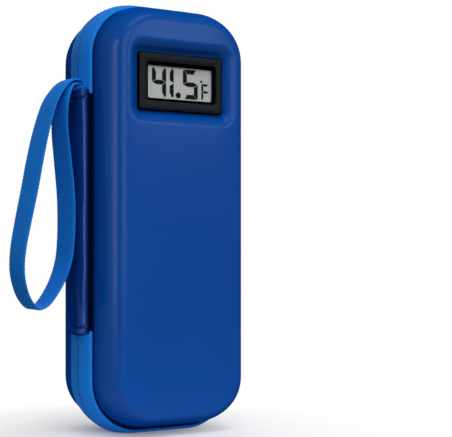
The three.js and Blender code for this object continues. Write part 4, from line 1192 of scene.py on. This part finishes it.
# The seam colour is painted shade, near black in the stepped recess round the window
MOULDED_BLACK = coated(
    "moulded_black", (15, 16, 23), (22, 23, 32), pores=2600, patches=90, relief=0.012, gloss=(0.26, 0.36),
    specular=0.0, coat=0.07, seam=(2, 2, 3),
)
steeper = (BEZEL_HEIGHT - WINDOW_HEIGHT) / (BEZEL_WIDTH - WINDOW_WIDTH)
rings = []
recess_shade = []
for inset, depth, radius in BEZEL_PROFILE:
    line = rounded(BEZEL_WIDTH / 2 - inset, BEZEL_HEIGHT / 2 - inset * steeper, radius, DISPLAY_Z)
    rings.append(at_depth(line, bezel_low.y + depth))
    # Painted shade: the rows down in the recess take the seam colour
    sunk = depth > RECESS_SHADE_FROM or depth > RECESS_SHADE_FROM / 2 and inset > FRAME_WIDE
    recess_shade += [(0, 0, float(sunk))] * len(line)
stands_for(skinned("bezel_moulding", rings, MOULDED_BLACK, recess_shade, wrap="both"), "display_bezel")
painted(MOULDED_BLACK, "display_rear_housing", "battery_door", "unit_button")

# Zip sliders and pulls
# Two enamelled zinc sliders, mouth to mouth: plates inside and outside the tape on one post, an arched
# bridge over the outer plate, and a die-cast pull tab that swings in the bridge.
SLIDER_LONG = 10.0
SLIDER_PLATE = 1.5
SLIDER_INNER_PLATE = 1.2
SLIDER_SLIM = 0.9
SLIDER_BEVEL = 0.35
# In from the plate's widest part, and along from its mouth
PLATE_EDGE = [(0.6, 0.0), (0.0, 1.2), (0.0, 4.0), (1.3, 8.5), (2.4, SLIDER_LONG)]
POST_HALF = (0.25, 1.3)
POST_SUNK = 0.3
BRIDGE_HALF = 3.2
BRIDGE_HIGH = 3.4
BRIDGE_BAR = 1.1
BRIDGE_WIDE = 2.2
BRIDGE_SUNK = 0.3
BRIDGE_FULL = 0.55
BRIDGE_STEPS = 15
PULL_LONG = 22.0
PULL_HALF_WIDE = 3.1
PULL_HALF_THICK = 0.6
PULL_CORNER = 2.9
# Half the width and half the length of the tab's window, and its corners' radius
PULL_WINDOW = (2.0, 2.3, 0.7)
# In from the tab's side, or out from its window, and the half thickness there
PULL_RIM = [(0.0, 0.3), (0.12, 0.5), (0.35, 0.6), (0.95, 0.6), (1.15, 0.42)]
PULL_INNER = [(0.45, 0.42), (0.25, 0.6), (0.0, 0.5), (0.0, 0.2)]
PULL_LEAN = math.radians(4)
ENAMEL = coated(
    "slider_enamel", (8, 46, 108), (20, 66, 136), pores=1200, patches=160, relief=0.02, gloss=(0.24, 0.36),
    specular=0.5, metallic=0.25,
)
for name, way in (("upper", 1), ("lower", -1)):
    low, high = span(f"{name}_slider")
    z = (low.z + high.z) / 2
    face_x = high.x - BRIDGE_HIGH
    head = z - way * SLIDER_LONG / 2
    plate = [(high.y - inset, head + way * along) for inset, along in PLATE_EDGE]
    plate = [(-plate[0][0], head), *plate, *[(-y, level) for y, level in plate[:0:-1]]]
    slimmer = [(y * SLIDER_SLIM, level) for y, level in plate]
    post = [(y * POST_HALF[0], z + up * POST_HALF[1]) for y, up in ((-1, -1), (1, -1), (1, 1), (-1, 1))]
    foot_x = face_x - BRIDGE_SUNK
    spread = np.linspace(0, math.pi, BRIDGE_STEPS)
    arches = []
    for thinner in (0, BRIDGE_BAR):
        lift = (high.x - thinner - foot_x) * np.sin(spread) ** BRIDGE_FULL
        arches.append(np.c_[foot_x + lift, z - (BRIDGE_HALF - thinner) * np.cos(spread)])
    points = []
    faces = []
    for solid_points, solid_faces in (
        prism([plate], face_x - SLIDER_PLATE, face_x, "yzx"),
        prism([slimmer], low.x, low.x + SLIDER_INNER_PLATE, "yzx"),
        prism([post], low.x + SLIDER_INNER_PLATE - POST_SUNK, face_x - SLIDER_PLATE + 2 * POST_SUNK, "yzx"),
        prism([np.vstack([arches[0], arches[1][::-1]])], -BRIDGE_WIDE / 2, BRIDGE_WIDE / 2, "xzy"),
    ):
        faces += [face + len(points) for face in solid_faces]
        points += solid_points
    slider = new_piece(f"{name}_slider_body", points, faces, ENAMEL)
    edges = slider.modifiers.new("edges", "BEVEL")
    edges.width = SLIDER_BEVEL * MM
    edges.segments = 3
    edges.limit_method = "ANGLE"
    stands_for(slider, f"{name}_slider")

    swing = f"{name}_pull_swing"
    pivot_x = next(joint["pos_m"][0] for joint in frame["joints"] if joint["name"] == swing) / MM
    half_z = (PULL_LONG + PULL_HALF_THICK) / 2
    rings = []
    for inset, lift in PULL_RIM:
        half_x = PULL_HALF_WIDE - inset
        rings.append((rounded(half_x, half_z - inset, PULL_CORNER - inset, half_z - PULL_HALF_THICK), lift))
    wide, long, corner = PULL_WINDOW
    for grow, lift in PULL_INNER:
        rings.append((rounded(wide + grow, long + grow, corner + grow, PULL_HALF_THICK + long), lift))
    rings += [(line, -lift) for line, lift in rings[::-1]]
    rings = np.array([np.c_[np.full(len(line), lift), line] for line, lift in rings])
    turn = -PULL_LEAN if way > 0 else math.pi
    turned = rings.copy()
    turned[..., 0] = rings[..., 0] * math.cos(turn) + rings[..., 2] * math.sin(turn) + pivot_x
    turned[..., 2] = rings[..., 2] * math.cos(turn) - rings[..., 0] * math.sin(turn) + z
    stands_for(skinned(f"{name}_pull_tab", turned, ENAMEL, wrap="both"), f"{name}_pull")

# Wrist strap
# One length of 16 mm polyester webbing, folded in two and sewn by both ends under the patch's upper
# hem. It stands out over the hem and hangs in a loop.
STRAP_WIDTH = 16.0
STRAP_HALF_THICK = 0.62
STRAP_SQUARE = 10
STRAP_EDGE_LEAST = 0.08
STRAP_STEP = 0.5
STRAP_COLUMNS = 26
SMOOTH_STEPS = 60
RIB = 0.07
RIB_LONG = 2.0
SELVAGE = 0.1
SELVAGE_FROM = 0.97
TWIST = math.radians(8)
BOW_FADE = 24.0
ROOT_BOW = 2.2
# Distances out from the tape's crown, and heights over the patch's upper end
STRAP_ROUTE = [
    (0.9, -2.2), (1.0, -0.4), (1.5, 1.2), (2.7, 2.3), (4.2, 2.7), (5.8, 2.6), (7.4, 2.0), (9.3, 0.5),
    (11.9, -3.2), (14.9, -9.0), (19.2, -22.4), (22.6, -37.2), (25.5, -52), (28.6, -66.5), (31.2, -80),
    (31.9, -89), (31.2, -96), (28.2, -104.6), (23.6, -109.5), (19.4, -108.2), (16, -104.6), (10.8, -96),
    (7.4, -86), (6.2, -76), (5.9, -62), (6.4, -51), (7.9, -36.6), (9.4, -22), (9.4, -12.6), (8.9, -6),
    (8.1, -2), (7.0, -0.1), (5.6, 0.7), (4.2, 0.5), (3.0, -0.5), (2.4, -2.2),
]


def smooth_line(points, step):
    """A smooth line through points, as places an even step apart, and its length."""
    points = np.asarray(points, float)
    time = np.r_[0, np.cumsum(np.linalg.norm(np.diff(points, axis=0), axis=1) ** 0.5)]
    slope = np.gradient(points, time, axis=0)
    t = np.linspace(0, 1, SMOOTH_STEPS, endpoint=False)[:, None]
    dense = []
    for k, run in enumerate(np.diff(time)):
        dense.append(eased(t, points[k], run * slope[k], points[k + 1], run * slope[k + 1]))
    dense = np.vstack([*dense, points[-1:]])
    distance = steps_along(dense)
    even = np.linspace(0, distance[-1], int(distance[-1] / step) + 1)
    return np.c_[np.interp(even, distance, dense[:, 0]), np.interp(even, distance, dense[:, 1])], distance[-1]


route, strap_length = smooth_line(STRAP_ROUTE, STRAP_STEP)
line = np.c_[-CASE_WIDTH / 2 - TAPE_BULGE - route[:, 0], PATCH_TOP + route[:, 1]]
normal = beside(line)
distance = steps_along(line)
even = np.linspace(-1, 1, STRAP_COLUMNS)
column = (np.sin(even * math.pi / 2) + even) / 2
thickness = STRAP_HALF_THICK * np.sqrt(np.clip(1 - np.abs(column) ** STRAP_SQUARE, STRAP_EDGE_LEAST, 1))
half = STRAP_WIDTH / 2
to_end = np.minimum(distance, distance[-1] - distance)
bowed = eased(np.clip(1 - to_end / BOW_FADE, 0, 1), 0, 0, 1, 0)
twist = TWIST * np.sin(math.tau * distance / distance[-1]) * (1 - bowed)
rings = []
cloth = []
for face in (1, -1):
    for share, thick in list(zip(column, thickness))[::face]:
        edge = abs(share) > SELVAGE_FROM
        y = share * (half + SELVAGE * np.sin(math.tau * distance / RIB_LONG) * edge)
        wave = np.sin(math.tau * (distance + face * share * half) / RIB_LONG)
        out = face * (thick + RIB * wave * (not edge)) + y * np.sin(twist)
        x = line[:, 0] + normal[:, 0] * out + bowed * ROOT_BOW * share ** 2
        rings.append(np.c_[x, y * np.cos(twist), line[:, 1] + normal[:, 1] * out])
        cloth += [(share * half * face, v, 0) for v in distance]
WEBBING = woven(
    "strap_webbing", (5, 98, 192), (34, 136, 230), across=RIB_LONG, along=RIB_LONG, relief=0.06,
    roughness=0.7,
)
strap = skinned("strap_webbing", rings, WEBBING, cloth, wrap="rings", caps=True)
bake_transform(strap)
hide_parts("wrist_strap", "strap_root")

# Studio
# A plain white floor and backdrop, soft lamps, and the camera at the photograph's place. Places, sizes
# and distances here are in metres.
PHOTO_WIDE = 452
PHOTO_HIGH = 437
FOCAL_PIXELS = 1202.7
HORIZON_PIXEL = 253.39
CAMERA_ANGLE = math.radians(28.79)
CAMERA_TURN = math.radians(32.26)
CAMERA_AWAY = 0.62247
CAMERA_HEIGHT = 0.09024
AMBIENT = 0.36
FLOOR_HALF = 4.0
FLOOR_PALE = 0.82
FLOOR_GLOW = 0.14
FLOOR_FADE = (0.04, 0.15)
FLOOR_SHADE = (-0.035, -0.03, 0.0)
AIM = Vector((0, 0, 0.11))
# Each lamp's place, width and height, and power
LAMPS = {
    "front_key": ((-0.35, -1.23, 0.5), (1.1, 1.0), 11.4),
    "front_top": ((-0.1, -0.5, 1.15), (0.8, 0.5), 4.2),
    "right_fill": ((0.95, 0.1, 0.4), (0.3, 0.8), 2.5),
    "back_fill": ((0.3, 1.2, 0.6), (0.9, 0.9), 4.0),
    "left_softbox": ((-1.1, 0.0, 0.35), (0.32, 0.9), 7.5),
    "right_softbox": ((0.6, -1.15, 0.52), (0.4, 0.45), 4.2),
}
REFLECTED_ONLY = {"left_softbox", "right_softbox"}
COOL_LIGHT = (0.62, 0.8, 1.0)

scene = bpy.context.scene
lens = bpy.data.cameras.new("photo_camera")
lens.sensor_fit = "HORIZONTAL"
lens.sensor_width = 36
lens.lens = FOCAL_PIXELS * lens.sensor_width / PHOTO_WIDE
lens.shift_y = (HORIZON_PIXEL - PHOTO_HIGH / 2) / PHOTO_WIDE
camera = bpy.data.objects.new("photo_camera", lens)
camera.location = (
    -math.sin(CAMERA_ANGLE) * CAMERA_AWAY, -math.cos(CAMERA_ANGLE) * CAMERA_AWAY + ZIP_Y, CAMERA_HEIGHT,
)
camera.rotation_euler = (math.pi / 2, 0, -CAMERA_TURN)
scene.collection.objects.link(camera)
scene.camera = camera


def seen_directly(tree):
    """One where the camera, a reflection or a clear piece looks straight at the surface, and one for the
    reflection alone."""
    kind = node(tree, "ShaderNodeLightPath").outputs
    seen = math_node(tree, "MAXIMUM", kind["Is Camera Ray"], kind["Is Glossy Ray"])
    return math_node(tree, "MAXIMUM", seen, kind["Is Transmission Ray"]), kind["Is Glossy Ray"]


world = bpy.data.worlds.new("studio")
scene.world = world
world.use_nodes = True
backdrop = world.node_tree.nodes["Background"].inputs
backdrop["Color"].default_value = (1, 1, 1, 1)
brightness = ranged(world.node_tree, seen_directly(world.node_tree)[0], AMBIENT, 1.0)
world.node_tree.links.new(brightness, backdrop["Strength"])

mesh = bpy.data.meshes.new("floor")
corners = [(x * FLOOR_HALF, y * FLOOR_HALF, 0) for x, y in ((-1, -1), (1, -1), (1, 1), (-1, 1))]
mesh.from_pydata(corners, [], [(0, 1, 2, 3)])
floor = bpy.data.objects.new("floor", mesh)
scene.collection.objects.link(floor)
paper, tree, surface = finish("white_floor")
surface["Roughness"].default_value = 0.9
surface["Specular IOR Level"].default_value = 0.0
surface["Emission Color"].default_value = (1, 1, 1, 1)
place = node(tree, "ShaderNodeTexCoord").outputs["Object"]
away = node(tree, "ShaderNodeVectorMath", {0: place, 1: FLOOR_SHADE}, operation="DISTANCE").outputs["Value"]
lit = ranged(tree, away, FLOOR_GLOW, 1.0, *FLOOR_FADE)
seen, mirrored = seen_directly(tree)
glow = math_node(tree, "MAXIMUM", math_node(tree, "MULTIPLY", seen, lit), mirrored)
tree.links.new(ranged(tree, away, FLOOR_PALE, 0.0, *FLOOR_FADE), surface["Base Color"])
tree.links.new(glow, surface["Emission Strength"])
mesh.materials.append(paper)

for name, (place, size, power) in LAMPS.items():
    light = bpy.data.lights.new(name, "AREA")
    light.shape = "RECTANGLE"
    light.size, light.size_y = size
    light.energy = power
    lamp = bpy.data.objects.new(name, light)
    lamp.location = place
    lamp.rotation_euler = (AIM - Vector(place)).to_track_quat("-Z", "Y").to_euler()
    if name in REFLECTED_ONLY:
        light.color = COOL_LIGHT
        lamp.visible_diffuse = False
    scene.collection.objects.link(lamp)
scene.view_settings.view_transform = "Standard"
